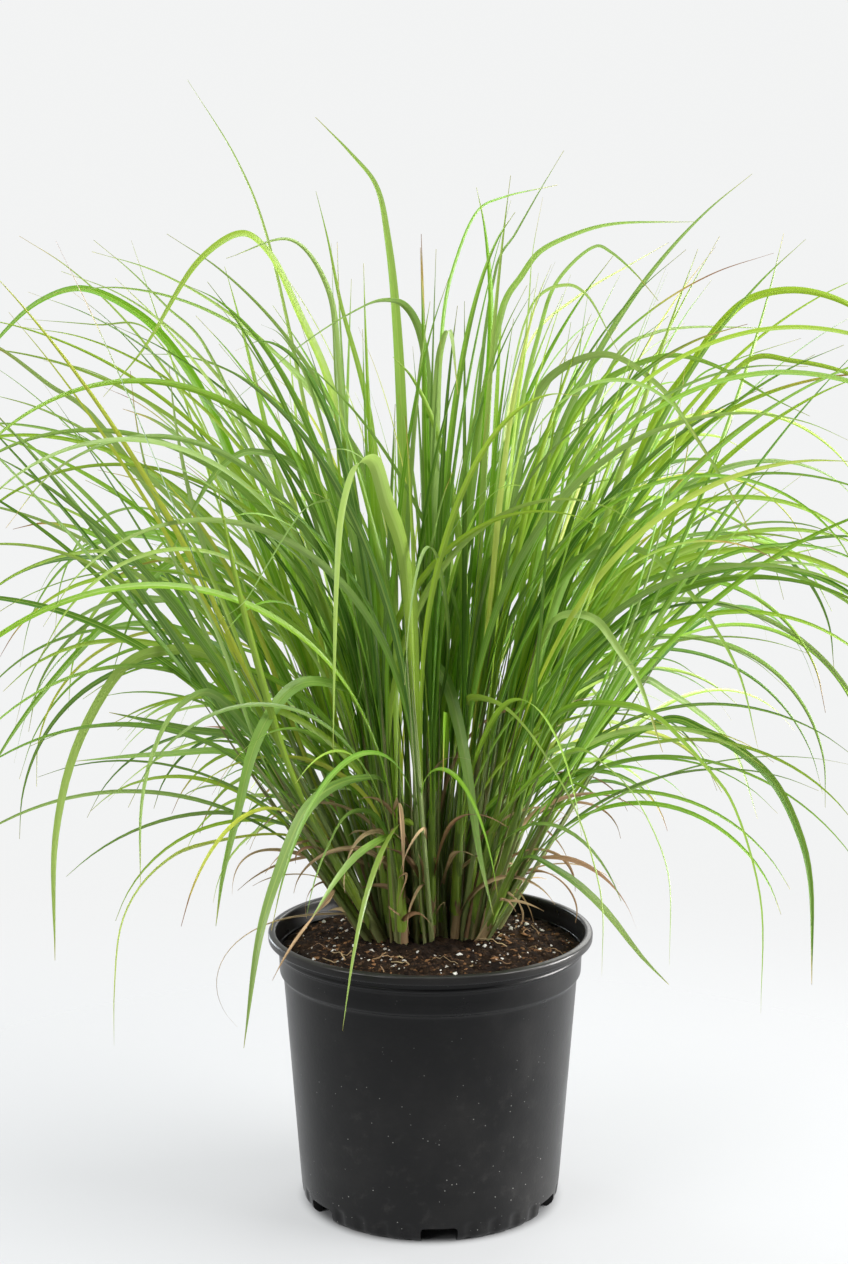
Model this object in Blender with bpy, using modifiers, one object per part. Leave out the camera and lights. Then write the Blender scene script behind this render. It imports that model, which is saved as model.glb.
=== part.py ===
"""Ornamental grass clump in a moulded nursery pot: the pot, its soil and the shoots of the clump.

Metres, +Z up. The origin is on the ground under the middle of the pot, and the front faces -Y.
"""

import math
import random

import bmesh
import bpy
from mathutils import Matrix, Vector
from mathutils.bvhtree import BVHTree

MM = 0.001
GAP = 0.3 * MM
SEED = 11

# Pot
POT_SIDES = 48
RIM_RADIUS = 140 * MM
RIM_TOP = 240 * MM
LIP_HEIGHT = 8 * MM
LIP_WIDTH = 6.5 * MM
BAND_RADIUS = 130.5 * MM
BAND_BOTTOM = 202 * MM
WALL_TOP_RADIUS = 126.5 * MM
WALL_FOOT_RADIUS = 112.8 * MM
FLOOR_UNDERSIDE = 15 * MM
FOOT_RADIUS = 107.5 * MM
FOOT_WIDTH = 6.5 * MM
WALL = 2 * MM
NOTCHES = 6
NOTCH_WIDTH = 30 * MM
NOTCH_HEIGHT = 13.5 * MM
FRONT_NOTCH_TURN = 3.7
DRAIN_RADIUS = 7 * MM
DRAIN_PLACE = 84 * MM

# Soil
SOIL_SIDES = 24
SOIL_CROWN = 230 * MM
SOIL_EDGE = 222 * MM
CROWN_FLAT = 84 * MM
SOIL_LUMP = 1.2 * MM

# Crown and shoots
CROWN_MIDDLE = Vector((0, 26 * MM, SOIL_CROWN + GAP))
CROWN_HALF = (62 * MM, 44 * MM)
SHOOT_SPACING = 11.5 * MM
SPACING_ROUNDS = 120
STEM_SIDES = 6
STEM_LENGTH = (90 * MM, 135 * MM)
STEM_FOOT_RADIUS = 4.2 * MM
STEM_TOP_RADIUS = 3 * MM
ROOT_WIDTH = 2.4 * MM
ROOT_OFFSET = 1.7 * MM
TIP_WIDTH = 1 * MM
RIB_SHARE = 0.16
RIB_LEAST = 0.8 * MM
CLEARANCE = 0.8 * MM
STEM_SHARE = 0.7
STATIONS = {"marked": 8, "free": 6}
TRIES = 200
ROUTE_STEPS = 10
POT_KEEP_OFF = 150 * MM
RIM_CLEAR = 7 * MM
LEAVES_A_SHOOT = 3
BACK_SHOOTS = 13
LEADER_LENGTH = (420 * MM, 640 * MM)
LEADER_WIDTH = 10
LEADER_NUDGE = 0.9
LEADER_SWINGS = 14
ROOT_SHIFT = 13 * MM
GOLDEN_TURN = 2.39996
LEAF_LENGTH = (330 * MM, 640 * MM)
LEAF_NUDGE = 1.7
SWING = 42
INNER_LEAN = 0.2
INNER_ENDS = (30, 105)
OUTER_ENDS = (92, 160)
SPREAD = (446 * MM, 356 * MM)
WIDEST = (452 * MM, 380 * MM)
HIGHEST = 915 * MM
LOWEST = 110 * MM

# Where the front view is seen from, and the upright plane its marks are read on
EYE = Vector((-5.5 * MM, -1950 * MM, 819 * MM))
FACING_PLANE = 20 * MM

# The shoots whose leaves stand out in the front view. Each leaf is its turn in degrees from +X,
# its width in mm, and its marks from root to tip: side and height in mm on the facing plane.
FRONT_SHOOTS = {
    "front_inner_drop": [
        (228, 10, [
            (18, 440), (8, 505), (-7, 541), (-21, 548),
            (-35, 539), (-44, 516), (-51, 480), (-70, 405),
        ]),
    ],
    "front_middle_fall": [
        (300, 13, [
            (-8, 440), (-5, 464), (1, 467), (13, 453),
            (23, 419), (31, 379), (43, 298), (55, 245),
        ]),
    ],
    "left_crest": [
        (195, 13, [
            (-80, 690), (-110, 765), (-135, 815), (-155, 830),
            (-190, 810), (-240, 735), (-275, 695),
        ]),
    ],
    "left_spire": [
        (165, 6, [(-135, 825), (-160, 890), (-200, 955)]),
        (190, 5, [(-190, 740), (-220, 770), (-250, 800), (-280, 825)]),
    ],
    "middle_spire": [
        (160, 12, [(-25, 710), (-35, 825), (-45, 870), (-65, 895), (-95, 925)]),
    ],
    "middle_left_spire": [
        (150, 8, [(-50, 675), (-75, 775), (-85, 825), (-95, 865)]),
        (215, 10, [(-75, 690), (-85, 785), (-115, 825), (-170, 810)]),
    ],
    "left_high_arch": [
        (175, 11, [
            (-180, 675), (-215, 735), (-245, 765), (-290, 785),
            (-325, 775), (-360, 745), (-410, 680),
        ]),
    ],
    "left_reach": [
        (160, 6, [(-235, 750), (-280, 755), (-340, 760)]),
        (200, 8, [(-285, 680), (-320, 705), (-360, 735), (-400, 752), (-448, 745)]),
    ],
    "crossing_arch": [
        (225, 9, [
            (-5, 735), (-20, 770), (-40, 775), (-65, 765),
            (-105, 740), (-155, 700), (-185, 675),
        ]),
    ],
    "right_spire": [
        (8, 12, [(50, 735), (50, 785), (45, 835), (38, 868)]),
    ],
    "right_thin_spires": [
        (30, 7, [(10, 755), (20, 805), (40, 850), (60, 860), (105, 870)]),
        (12, 9, [(60, 770), (75, 795), (90, 815), (120, 830), (150, 838), (220, 840)]),
    ],
    "right_needles": [
        (35, 5, [(55, 805), (70, 830), (90, 865), (110, 898)]),
        (-30, 6, [(80, 750), (85, 815), (93, 860)]),
    ],
    "right_crest": [
        (-30, 9, [
            (75, 680), (90, 745), (105, 790), (138, 820),
            (150, 815), (170, 798), (190, 775),
        ]),
    ],
    "right_rod": [
        (35, 6, [(80, 735), (125, 780), (163, 803), (198, 823)]),
        (-40, 8, [(84, 770), (113, 788), (130, 780), (157, 733)]),
    ],
    "middle_hook": [
        (-75, 11, [(6, 710), (10, 740), (17, 748), (23, 697)]),
    ],
    "right_high_rods": [
        (20, 6, [(167, 677), (184, 710), (211, 760), (234, 792)]),
        (10, 6, [(219, 706), (254, 725), (310, 744)]),
    ],
    "right_high_arch": [
        (5, 11, [
            (190, 677), (216, 717), (240, 753), (265, 776),
            (303, 784), (347, 773), (394, 738), (427, 686),
        ]),
    ],
    "right_long_arch": [
        (-20, 10, [
            (85, 688), (107, 717), (148, 730), (191, 704),
            (212, 677), (263, 597), (274, 569),
        ]),
    ],
    "right_low_crest": [
        (-10, 9, [
            (119, 679), (142, 706), (190, 728), (211, 729),
            (243, 719), (289, 693), (319, 679),
        ]),
        (-5, 8, [(265, 725), (304, 725), (349, 715), (395, 690), (430, 650)]),
    ],
    "right_level": [
        (25, 6, [(157, 731), (186, 748), (215, 753), (292, 752)]),
    ],
    "front_left_curl": [
        (205, 11, [(-105, 628), (-150, 649), (-168, 643), (-185, 626), (-198, 605), (-225, 555)]),
    ],
    "front_left_whip": [
        (235, 8, [
            (-74, 605), (-89, 607), (-105, 601), (-121, 580),
            (-145, 541), (-159, 520), (-189, 500),
        ]),
    ],
    "front_broad_drop": [
        (260, 15, [
            (-21, 555), (-37, 608), (-46, 638), (-55, 642),
            (-64, 633), (-74, 596), (-78, 550), (-84, 383),
        ]),
    ],
    "front_left_fall": [
        (225, 13, [
            (-59, 433), (-98, 452), (-118, 446), (-137, 424),
            (-153, 390), (-168, 330), (-180, 282), (-187, 235),
        ]),
    ],
    "front_left_low_fall": [
        (235, 12, [
            (-40, 362), (-61, 367), (-91, 355), (-110, 334),
            (-132, 282), (-148, 229), (-164, 124),
        ]),
    ],
    "rim_fall": [
        (238, 11, [(-9, 314), (-22, 329), (-39, 306), (-55, 261), (-65, 215), (-77, 140)]),
    ],
    "rim_short_fall": [
        (240, 8, [(-29, 314), (-57, 304), (-78, 282), (-103, 243)]),
        (222, 7, [(-48, 335), (-70, 335), (-88, 306), (-101, 272), (-108, 243)]),
    ],
    "front_right_fall": [
        (310, 13, [
            (31, 434), (47, 436), (66, 426), (87, 403),
            (106, 373), (125, 338), (148, 261), (150, 190),
        ]),
    ],
    "right_inner_fall": [
        (330, 11, [(105, 504), (125, 510), (142, 504), (160, 480), (177, 454), (200, 390)]),
        (315, 9, [(127, 392), (153, 376), (172, 357), (196, 313), (207, 277), (209, 200)]),
    ],
    "right_middle_fall": [
        (345, 12, [
            (121, 553), (143, 562), (166, 566), (184, 562),
            (206, 543), (229, 517), (263, 460), (282, 393),
        ]),
    ],
    "right_outer_fall": [
        (325, 12, [
            (110, 424), (165, 431), (191, 422), (215, 400),
            (239, 373), (258, 348), (286, 261), (290, 156),
        ]),
    ],
    "right_low_falls": [
        (10, 9, [(179, 453), (202, 443), (228, 426), (252, 405), (266, 381), (283, 331)]),
        (350, 10, [
            (203, 419), (238, 407), (268, 390), (297, 362),
            (321, 313), (330, 274), (334, 182),
        ]),
    ],
    "right_rim_rod": [
        (320, 8, [(84, 297), (109, 286), (130, 271), (154, 247), (185, 207), (209, 182)]),
    ],
    "left_falls": [
        (190, 10, [
            (-195, 558), (-218, 555), (-237, 541), (-260, 517),
            (-286, 493), (-345, 426), (-395, 350),
        ]),
        (175, 6, [(-220, 535), (-237, 536), (-251, 517), (-263, 487), (-273, 457)]),
    ],
    "left_outer_fall": [
        (205, 13, [
            (-187, 474), (-229, 478), (-252, 471), (-270, 454),
            (-304, 393), (-324, 314), (-328, 204),
        ]),
    ],
    "left_hook": [
        (215, 9, [(-188, 442), (-211, 433), (-225, 417), (-240, 383), (-249, 342), (-252, 270)]),
    ],
    "left_low_fall": [
        (210, 10, [
            (-120, 315), (-206, 305), (-228, 293), (-252, 269),
            (-268, 237), (-276, 178), (-278, 126),
        ]),
    ],
    "left_level": [
        (185, 10, [(-161, 400), (-207, 410), (-276, 425)]),
        (170, 8, [(-161, 386), (-231, 388), (-307, 382)]),
    ],
}

# Finish of each kind of piece: colour, roughness, metallic
FINISHES = {
    "pot": ((0.018, 0.019, 0.021, 1), 0.42, 0),
    "soil": ((0.045, 0.030, 0.021, 1), 0.95, 0),
    "leaf": ((0.13, 0.24, 0.04, 1), 0.5, 0),
}


def clear_scene():
    for thing in list(bpy.data.objects):
        bpy.data.objects.remove(thing, do_unlink=True)


def new_collection(name):
    collection = bpy.data.collections.new(name)
    bpy.context.scene.collection.children.link(collection)
    return collection


def new_object(name, mesh, collection):
    thing = bpy.data.objects.new(name, mesh)
    collection.objects.link(thing)
    return thing


def finish_material(name, colour, roughness, metallic):
    material = bpy.data.materials.new(name)
    material.use_nodes = True
    shader = material.node_tree.nodes["Principled BSDF"]
    shader.inputs["Base Color"].default_value = colour
    shader.inputs["Roughness"].default_value = roughness
    shader.inputs["Metallic"].default_value = metallic
    return material


def bare_copy(source):
    """The evaluated mesh of an object, welded."""
    graph = bpy.context.evaluated_depsgraph_get()
    mesh = bpy.data.meshes.new_from_object(source.evaluated_get(graph))
    form = bmesh.new()
    form.from_mesh(mesh)
    bmesh.ops.remove_doubles(form, verts=form.verts, dist=1e-6)
    form.to_mesh(mesh)
    form.free()
    return mesh


# Turned pieces


def turned(name, outline, sides, collection):
    """A closed turned piece from an outline of radius and height, outer side top to bottom."""
    mesh = bpy.data.meshes.new(name)
    points = [(radius, 0, height) for radius, height in outline]
    mesh.from_pydata(points, [(i, i + 1) for i in range(len(points) - 1)], [])
    piece = new_object(name, mesh, collection)
    screw = piece.modifiers.new("turn", "SCREW")
    screw.steps = sides
    screw.render_steps = sides
    screw.use_merge_vertices = True
    screw.merge_threshold = 0.01 * MM
    screw.use_smooth_shade = True
    return piece


def inner_wall_radius(height):
    """Radius of the pot's inner wall at a height."""
    knots = [
        (FLOOR_UNDERSIDE, WALL_FOOT_RADIUS - WALL),
        (BAND_BOTTOM - 2 * MM, WALL_TOP_RADIUS - WALL),
        (BAND_BOTTOM + 3 * MM, BAND_RADIUS - WALL - 1 * MM),
        (RIM_TOP, RIM_RADIUS - LIP_WIDTH),
    ]
    for (low, low_radius), (high, high_radius) in zip(knots, knots[1:]):
        if height <= high:
            return low_radius + (high_radius - low_radius) * (height - low) / (high - low)
    return knots[-1][1]


def pot_outline():
    floor_top = FLOOR_UNDERSIDE + WALL
    lip_bottom = RIM_TOP - LIP_HEIGHT
    inside = [(0, floor_top)]
    for height in (floor_top, BAND_BOTTOM - 2 * MM, BAND_BOTTOM + 3 * MM):
        inside.append((inner_wall_radius(height), height))
    lip = [
        (RIM_RADIUS - LIP_WIDTH, RIM_TOP - 1.2 * MM),
        (RIM_RADIUS - LIP_WIDTH + 1.2 * MM, RIM_TOP),
        (RIM_RADIUS - 1.5 * MM, RIM_TOP),
        (RIM_RADIUS, RIM_TOP - 1.5 * MM),
        (RIM_RADIUS, lip_bottom + 1 * MM),
        (RIM_RADIUS - 1.2 * MM, lip_bottom),
        (BAND_RADIUS + 1.2 * MM, lip_bottom - 1 * MM),
    ]
    outside = [
        (BAND_RADIUS - 1 * MM, BAND_BOTTOM + 1 * MM),
        (WALL_TOP_RADIUS, BAND_BOTTOM - 1 * MM),
        (WALL_FOOT_RADIUS, FLOOR_UNDERSIDE),
        (WALL_FOOT_RADIUS - 2 * MM, 3 * MM),
        (FOOT_RADIUS, 0),
    ]
    under = [
        (FOOT_RADIUS - FOOT_WIDTH, 0),
        (FOOT_RADIUS - FOOT_WIDTH - 1.5 * MM, FLOOR_UNDERSIDE),
        (0, FLOOR_UNDERSIDE),
    ]
    return inside + lip + outside + under


def box_cutter(name, size, place, turn, cutters):
    bpy.ops.mesh.primitive_cube_add(size=1)
    cutter = bpy.context.object
    cutter.name = name
    cutter.data.transform(Matrix.Diagonal((*size, 1)))
    cutter.matrix_world = Matrix.Rotation(turn, 4, "Z") @ Matrix.Translation(place)
    file_away(cutter, cutters)
    return cutter


def round_cutter(name, radius, depth, place, turn, cutters):
    bpy.ops.mesh.primitive_cylinder_add(vertices=8, radius=radius, depth=depth)
    cutter = bpy.context.object
    cutter.name = name
    cutter.matrix_world = Matrix.Rotation(turn, 4, "Z") @ Matrix.Translation(place)
    file_away(cutter, cutters)
    return cutter


def file_away(cutter, cutters):
    for home in list(cutter.users_collection):
        home.objects.unlink(cutter)
    cutters.objects.link(cutter)
    cutter.hide_render = True
    cutter.display_type = "WIRE"


def make_pot(parts, cutters):
    """The pot shell, with its drainage notches through the foot and a drain hole behind each."""
    pot = turned("pot", pot_outline(), POT_SIDES, parts)
    foot_middle = FOOT_RADIUS + 0.5 * MM
    for index in range(NOTCHES):
        turn = math.radians(-90 + FRONT_NOTCH_TURN + index * 360 / NOTCHES)
        size = (24 * MM, NOTCH_WIDTH, 2 * NOTCH_HEIGHT)
        notch = box_cutter(f"notch_{index}", size, Vector((foot_middle, 0, 0)), turn, cutters)
        place = Vector((DRAIN_PLACE, 0, FLOOR_UNDERSIDE + WALL / 2))
        drain = round_cutter(f"drain_{index}", DRAIN_RADIUS, 4 * WALL, place, turn, cutters)
        for cutter in (notch, drain):
            cut = pot.modifiers.new(cutter.name, "BOOLEAN")
            cut.operation = "DIFFERENCE"
            cut.solver = "EXACT"
            cut.object = cutter
    return pot


def soil_height(radius, edge):
    """Height of the smooth soil surface: level under the crown, then falling to the wall."""
    share = min(1, max(0, (radius - CROWN_FLAT) / (edge - CROWN_FLAT)))
    return SOIL_CROWN - (SOIL_CROWN - SOIL_EDGE) * share * share * (3 - 2 * share)


def make_soil(parts):
    """The root ball and potting soil, filling the pot to a little under its rim."""
    edge = inner_wall_radius(SOIL_EDGE) - 2.2 * GAP
    outline = [(0, SOIL_CROWN)]
    for radius in (CROWN_FLAT, 0.5 * (CROWN_FLAT + edge), edge):
        outline.append((radius, soil_height(radius, edge)))
    for height in (BAND_BOTTOM + 3 * MM, BAND_BOTTOM - 3 * MM, FLOOR_UNDERSIDE + WALL + GAP):
        outline.append((inner_wall_radius(height) - 2.2 * GAP, height))
    outline.append((0, FLOOR_UNDERSIDE + WALL + GAP))
    soil = turned("soil", outline, SOIL_SIDES, parts)
    mesh = bare_copy(soil)
    soil.modifiers.clear()
    soil.data = mesh
    chance = random.Random(SEED)
    for vertex in mesh.vertices:
        radius = vertex.co.xy.length
        if vertex.co.z > SOIL_EDGE - 1 * MM and radius > CROWN_FLAT + 1 * MM:
            vertex.co.z += chance.uniform(-SOIL_LUMP, SOIL_LUMP)
    return soil


# Growth of the clump


def outward(turn):
    return Vector((math.cos(turn), math.sin(turn), 0))


def carried(mark, root, turn):
    """A front-view mark, slid along its line of sight into the leaf's own upright plane."""
    seen = Vector((mark[0] * MM, FACING_PLANE, mark[1] * MM))
    sight = seen - EYE
    across = Vector((-math.sin(turn), math.cos(turn), 0))
    return EYE + sight * (across.dot(root - EYE) / across.dot(sight))


def marked_route(root, turn, marks, stem):
    """Root, top of the stem and the carried marks of a leaf that shows in the front view."""
    points = [carried(mark, root, turn) for mark in marks]
    rise = points[0] - root
    lean = Vector((rise.x * 0.85, rise.y * 0.85, rise.z)).normalized()
    return [root, root + lean * min(stem, STEM_SHARE * rise.length)] + points


def free_route(root, top, turn, length, bend, power):
    """A leaf that leaves the stem's top and bends over by its own weight, towards a turn."""
    stem = top - root
    lean = math.atan2(stem.xy.length, stem.z)
    start = math.atan2(stem.y, stem.x)
    swing = (turn - start + math.pi) % (2 * math.pi) - math.pi
    points = [root, top]
    steps = 12
    spot = top.copy()
    for index in range(steps):
        share = (index + 0.5) / steps
        heading = start + swing * min(1, share * 2.5)
        fall = lean + bend * share**power
        spot = spot + (outward(heading) * math.sin(fall) + Vector((0, 0, math.cos(fall)))) * length / steps
        points.append(spot)
    return points


def smooth_route(points, steps=ROUTE_STEPS):
    """A smooth curve through the points, as a close chain of points."""
    ends = [points[0] * 2 - points[1]] + points + [points[-1] * 2 - points[-2]]
    chain = [points[0]]
    for before, start, end, after in zip(ends, ends[1:], ends[2:], ends[3:]):
        knots = [0]
        for one, two in ((before, start), (start, end), (end, after)):
            knots.append(knots[-1] + max((two - one).length, 1e-6) ** 0.5)
        for step in range(1, steps + 1):
            at = knots[1] + (knots[2] - knots[1]) * step / steps
            chain.append(curve_point((before, start, end, after), knots, at))
    return chain


def curve_point(points, knots, at):
    level = list(points)
    for depth in (1, 2, 3):
        spans = range(4 - depth)
        pairs = [(index, index + depth) if depth < 3 else (1, 2) for index in spans]
        if depth == 2:
            pairs = [(0, 2), (1, 3)]
        shares = [(at - knots[low]) / (knots[high] - knots[low]) for low, high in pairs]
        level = [level[index].lerp(level[index + 1], share) for index, share in zip(spans, shares)]
    return level[0]


def even_stations(chain, count):
    """Places along a chain, closer together where it bends, each with its direction and share."""
    lengths = [0.0]
    turning = [0.0]
    for index in range(1, len(chain)):
        step = chain[index] - chain[index - 1]
        lengths.append(lengths[-1] + step.length)
        angle = 0.0
        if 1 < index:
            angle = step.angle(chain[index - 1] - chain[index - 2], 0.0)
        turning.append(turning[-1] + angle)
    total = lengths[-1]
    pace = [0.55 * a / total + 0.45 * b / max(turning[-1], 1e-6) for a, b in zip(lengths, turning)]
    stations = []
    index = 1
    for station in range(count + 1):
        wanted = pace[-1] * station / count
        while index < len(chain) - 1 and pace[index] < wanted:
            index += 1
        share = (wanted - pace[index - 1]) / max(pace[index] - pace[index - 1], 1e-9)
        spot = chain[index - 1].lerp(chain[index], min(max(share, 0), 1))
        along = (lengths[index - 1] + (lengths[index] - lengths[index - 1]) * share) / total
        direction = (chain[min(index + 1, len(chain) - 1)] - chain[max(index - 2, 0)]).normalized()
        stations.append((spot, direction, along))
    return stations


def blade_width(width, along):
    """Width of a blade: narrow in the sheath, full by a third of its length, then a long taper."""
    rise = min(1, along / 0.32)
    swell = ROOT_WIDTH + (width - ROOT_WIDTH) * rise * rise * (3 - 2 * rise)
    return max(TIP_WIDTH, swell * (1 - along**2.6))


def blade_mesh(leaf, count, grow=0.0):
    """A three-sided blade from its sector of the stem's top to its tip, grown by a clearance."""
    across = Vector((-math.sin(leaf["turn"]), math.cos(leaf["turn"]), 0))
    start = (leaf["stem_side"] - leaf["turn"] + math.pi) % (2 * math.pi) - math.pi
    corners = []
    for spot, direction, along in even_stations(leaf["chain"][ROUTE_STEPS:], count):
        spot = spot + outward(leaf["stem_side"]) * ROOT_OFFSET * (1 - along)
        across = (across - direction * across.dot(direction)).normalized()
        roll = leaf["roll"] * min(1, along * 1.6) + start * (1 - along)
        side = Matrix.Rotation(roll, 3, direction) @ across
        upper = direction.cross(side)
        half = blade_width(leaf["width"], along) / 2
        rib = max(RIB_LEAST, RIB_SHARE * 2 * half)
        corners.append(spot - side * (half + grow) - upper * grow)
        corners.append(spot + side * (half + grow) - upper * grow)
        corners.append(spot + upper * (rib + grow))
    faces = [(2, 1, 0)] + blade_sides(count)
    last = 3 * count
    faces.append((last, last + 1, last + 2))
    return corners, faces


def blade_sides(count, first=0):
    """Sides of a blade, all split the same way round, so that a thin twisted stretch stays solid."""
    faces = []
    for ring in range(first, count):
        left, right, rib = 3 * ring, 3 * ring + 1, 3 * ring + 2
        next_left, next_right, next_rib = left + 3, right + 3, rib + 3
        faces += [(left, right, next_right), (left, next_right, next_left)]
        faces += [(right, rib, next_right), (rib, next_rib, next_right)]
        faces += [(rib, left, next_rib), (left, next_left, next_rib)]
    return faces


def stem_rings(root, top, turn, grow=0.0):
    """The level ring where a stem meets the soil, and the square-cut ring at its top."""
    axis = (top - root).normalized()
    forward = outward(turn)
    frames = [(root, forward, Vector((0, 0, 1)).cross(forward), STEM_FOOT_RADIUS + grow)]
    forward = (forward - axis * forward.dot(axis)).normalized()
    frames.append((top + axis * grow, forward, axis.cross(forward), STEM_TOP_RADIUS + grow))
    rings = []
    for middle, ahead, beside, radius in frames:
        for side in range(STEM_SIDES):
            angle = 2 * math.pi * (side - 0.5) / STEM_SIDES
            rings.append(middle + (ahead * math.cos(angle) + beside * math.sin(angle)) * radius)
    return rings


def stem_sides():
    faces = [tuple(range(STEM_SIDES - 1, -1, -1))]
    for side in range(STEM_SIDES):
        after = (side + 1) % STEM_SIDES
        faces.append((side, after, after + STEM_SIDES, side + STEM_SIDES))
    return faces


def stem_mesh(root, top, turn, grow=0.0):
    return stem_rings(root, top, turn, grow), stem_sides() + [tuple(range(STEM_SIDES, 2 * STEM_SIDES))]


def shoot_mesh(shoot):
    """The whole shoot as one skin: each blade grows out of its own sector of the stem's top."""
    corners = stem_rings(shoot["root"], shoot["top"], shoot["turn"])
    faces = stem_sides()
    middle = len(corners)
    corners.append(shoot["top"].copy())
    taken = {leaf["sector"]: leaf for leaf in shoot["leaves"]}
    for sector in range(STEM_SIDES):
        base = (STEM_SIDES + sector, STEM_SIDES + (sector + 1) % STEM_SIDES, middle)
        if sector not in taken:
            faces.append(base)
            continue
        leaf = taken[sector]
        blade, _ = blade_mesh(leaf, leaf["count"])
        first = len(corners) - 3
        corners += blade[3:]
        for face in blade_sides(leaf["count"]):
            faces.append(tuple(base[corner] if corner < 3 else first + corner for corner in face))
        last = first + 3 * leaf["count"]
        faces.append((last, last + 1, last + 2))
    return corners, faces


def tree_of(solids):
    """A search tree over some corner and face lists."""
    corners = []
    faces = []
    for some_corners, some_faces in solids:
        first = len(corners)
        corners += some_corners
        faces += [tuple(corner + first for corner in face) for face in some_faces]
    return BVHTree.FromPolygons(corners, faces) if corners else None


def meets(tree, solid):
    return tree is not None and bool(tree.overlap(BVHTree.FromPolygons(*solid)))


def crown_spots(wanted):
    """Roots in the crown, pushed apart until each has room, and kept inside its outline."""
    spots = [Vector(spot) for spot in wanted]
    for _ in range(SPACING_ROUNDS):
        for one in range(len(spots)):
            for two in range(one + 1, len(spots)):
                apart = spots[two] - spots[one]
                if apart.length < SHOOT_SPACING:
                    push = apart.normalized() * (SHOOT_SPACING - apart.length) / 2
                    spots[one] = spots[one] - push
                    spots[two] = spots[two] + push
        for index, spot in enumerate(spots):
            reach = math.hypot(spot.x / CROWN_HALF[0], spot.y / CROWN_HALF[1])
            if reach > 1:
                spots[index] = spot / reach
    return [CROWN_MIDDLE + Vector((spot.x, spot.y, 0)) for spot in spots]


def wanted_root(turn, lean):
    """A leaf that leans far out grows near the edge of the crown, on its own side."""
    reach = min(1, math.sqrt(max(lean, 0) / math.radians(52)))
    return Vector((math.cos(turn) * CROWN_HALF[0] * reach, math.sin(turn) * CROWN_HALF[1] * reach))


def front_lean(turn, marks):
    side = marks[0][0] * MM / max(0.35, abs(math.cos(turn)))
    return math.atan2(abs(side), marks[0][1] * MM - SOIL_CROWN)


def plan_shoots():
    """Each shoot's name, leading turn and lean, and its marked leaves."""
    plan = []
    for name, leaves in FRONT_SHOOTS.items():
        turn = math.radians(leaves[0][0])
        plan.append((name, turn, front_lean(turn, leaves[0][2]), leaves))
    for index in range(BACK_SHOOTS):
        turn = math.radians(22 + 136 * ((index * 0.618034) % 1))
        lean = math.radians(6 + 36 * ((index * 0.381966 + 0.3) % 1))
        plan.append((f"back_{index + 1}", turn, lean, []))
    return plan


def in_reach(chain):
    """Whether a marked leaf stays inside the clump's spread, and clear of the soil and the pot."""
    for spot in chain[ROUTE_STEPS:]:
        if abs(spot.x) > WIDEST[0] or abs(spot.y) > WIDEST[1]:
            return False
        if spot.z < RIM_TOP + RIM_CLEAR and spot.xy.length < RIM_RADIUS + RIM_CLEAR:
            return False
    return True


def keeps_off(chain):
    """Whether a free leaf stays off the pot, inside the clump's outline and above its lowest tip."""
    for spot in chain[ROUTE_STEPS + 2 :]:
        if spot.z < LOWEST or spot.z > HIGHEST:
            return False
        if math.hypot(spot.x / SPREAD[0], spot.y / SPREAD[1]) > 1:
            return False
        if spot.xy.length < POT_KEEP_OFF and spot.z < RIM_TOP + 20 * MM:
            return False
    return True


def end_angle(lean, chance):
    """How far from upright a free leaf's tip points: outer leaves droop, inner ones stand."""
    low, high = INNER_ENDS if lean < INNER_LEAN else OUTER_ENDS
    return math.radians(chance.uniform(low, high))


def leaf_roll(chance):
    return math.radians(chance.uniform(25, 75)) * chance.choice((-1, 1))


def solids_of(shoots):
    return [solid for shoot in shoots for solid in shoot["solids"]]


def grow_leader(name, turn, lean, leaves, wanted, chance, others):
    """A shoot's stem and first leaf, moved little by little until they stand clear of the others."""
    stem = chance.uniform(*STEM_LENGTH)
    leaf = {"roll": leaf_roll(chance), "sector": 0, "count": STATIONS["marked"]}
    leaf["width"] = (leaves[0][1] if leaves else LEADER_WIDTH) * MM
    length = chance.uniform(*LEADER_LENGTH)
    bend = end_angle(lean, chance) - lean
    for attempt in range(TRIES):
        now = turn + math.radians(LEADER_NUDGE) * ((attempt + 1) // 2 % LEADER_SWINGS) * (-1) ** attempt
        root = wanted + outward(attempt * GOLDEN_TURN) * ROOT_SHIFT * (attempt / TRIES)
        if leaves:
            route = marked_route(root, now, leaves[0][2], stem)
        else:
            toward = outward(now) * math.sin(lean) + Vector((0, 0, math.cos(lean)))
            route = free_route(root, root + toward * stem, now, length, bend, 2.2)
        leaf.update(turn=now, stem_side=now, chain=smooth_route(route))
        if leaves and not in_reach(leaf["chain"]):
            continue
        if not leaves and not keeps_off(leaf["chain"]):
            bend *= 0.96
            length *= 0.98
            continue
        grown = [stem_mesh(root, route[1], now, CLEARANCE), blade_mesh(leaf, leaf["count"], CLEARANCE)]
        if not any(meets(others, solid) for solid in grown):
            shoot = {"name": name, "root": root, "top": route[1], "turn": now, "lean": lean}
            shoot["solids"] = [stem_mesh(root, route[1], now), blade_mesh(leaf, leaf["count"])]
            shoot.update(leaves=[leaf], waiting=list(leaves[1:]))
            return shoot
    return None


def past_root(leaf, grow=0.0):
    """The form of a blade without its first stretch, which runs close to the shoot's other blades."""
    corners, faces = blade_mesh(leaf, leaf["count"], grow)
    last = 3 * (leaf["count"] - 1)
    return corners[3:], [(2, 1, 0)] + blade_sides(leaf["count"] - 1) + [(last, last + 1, last + 2)]


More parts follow.
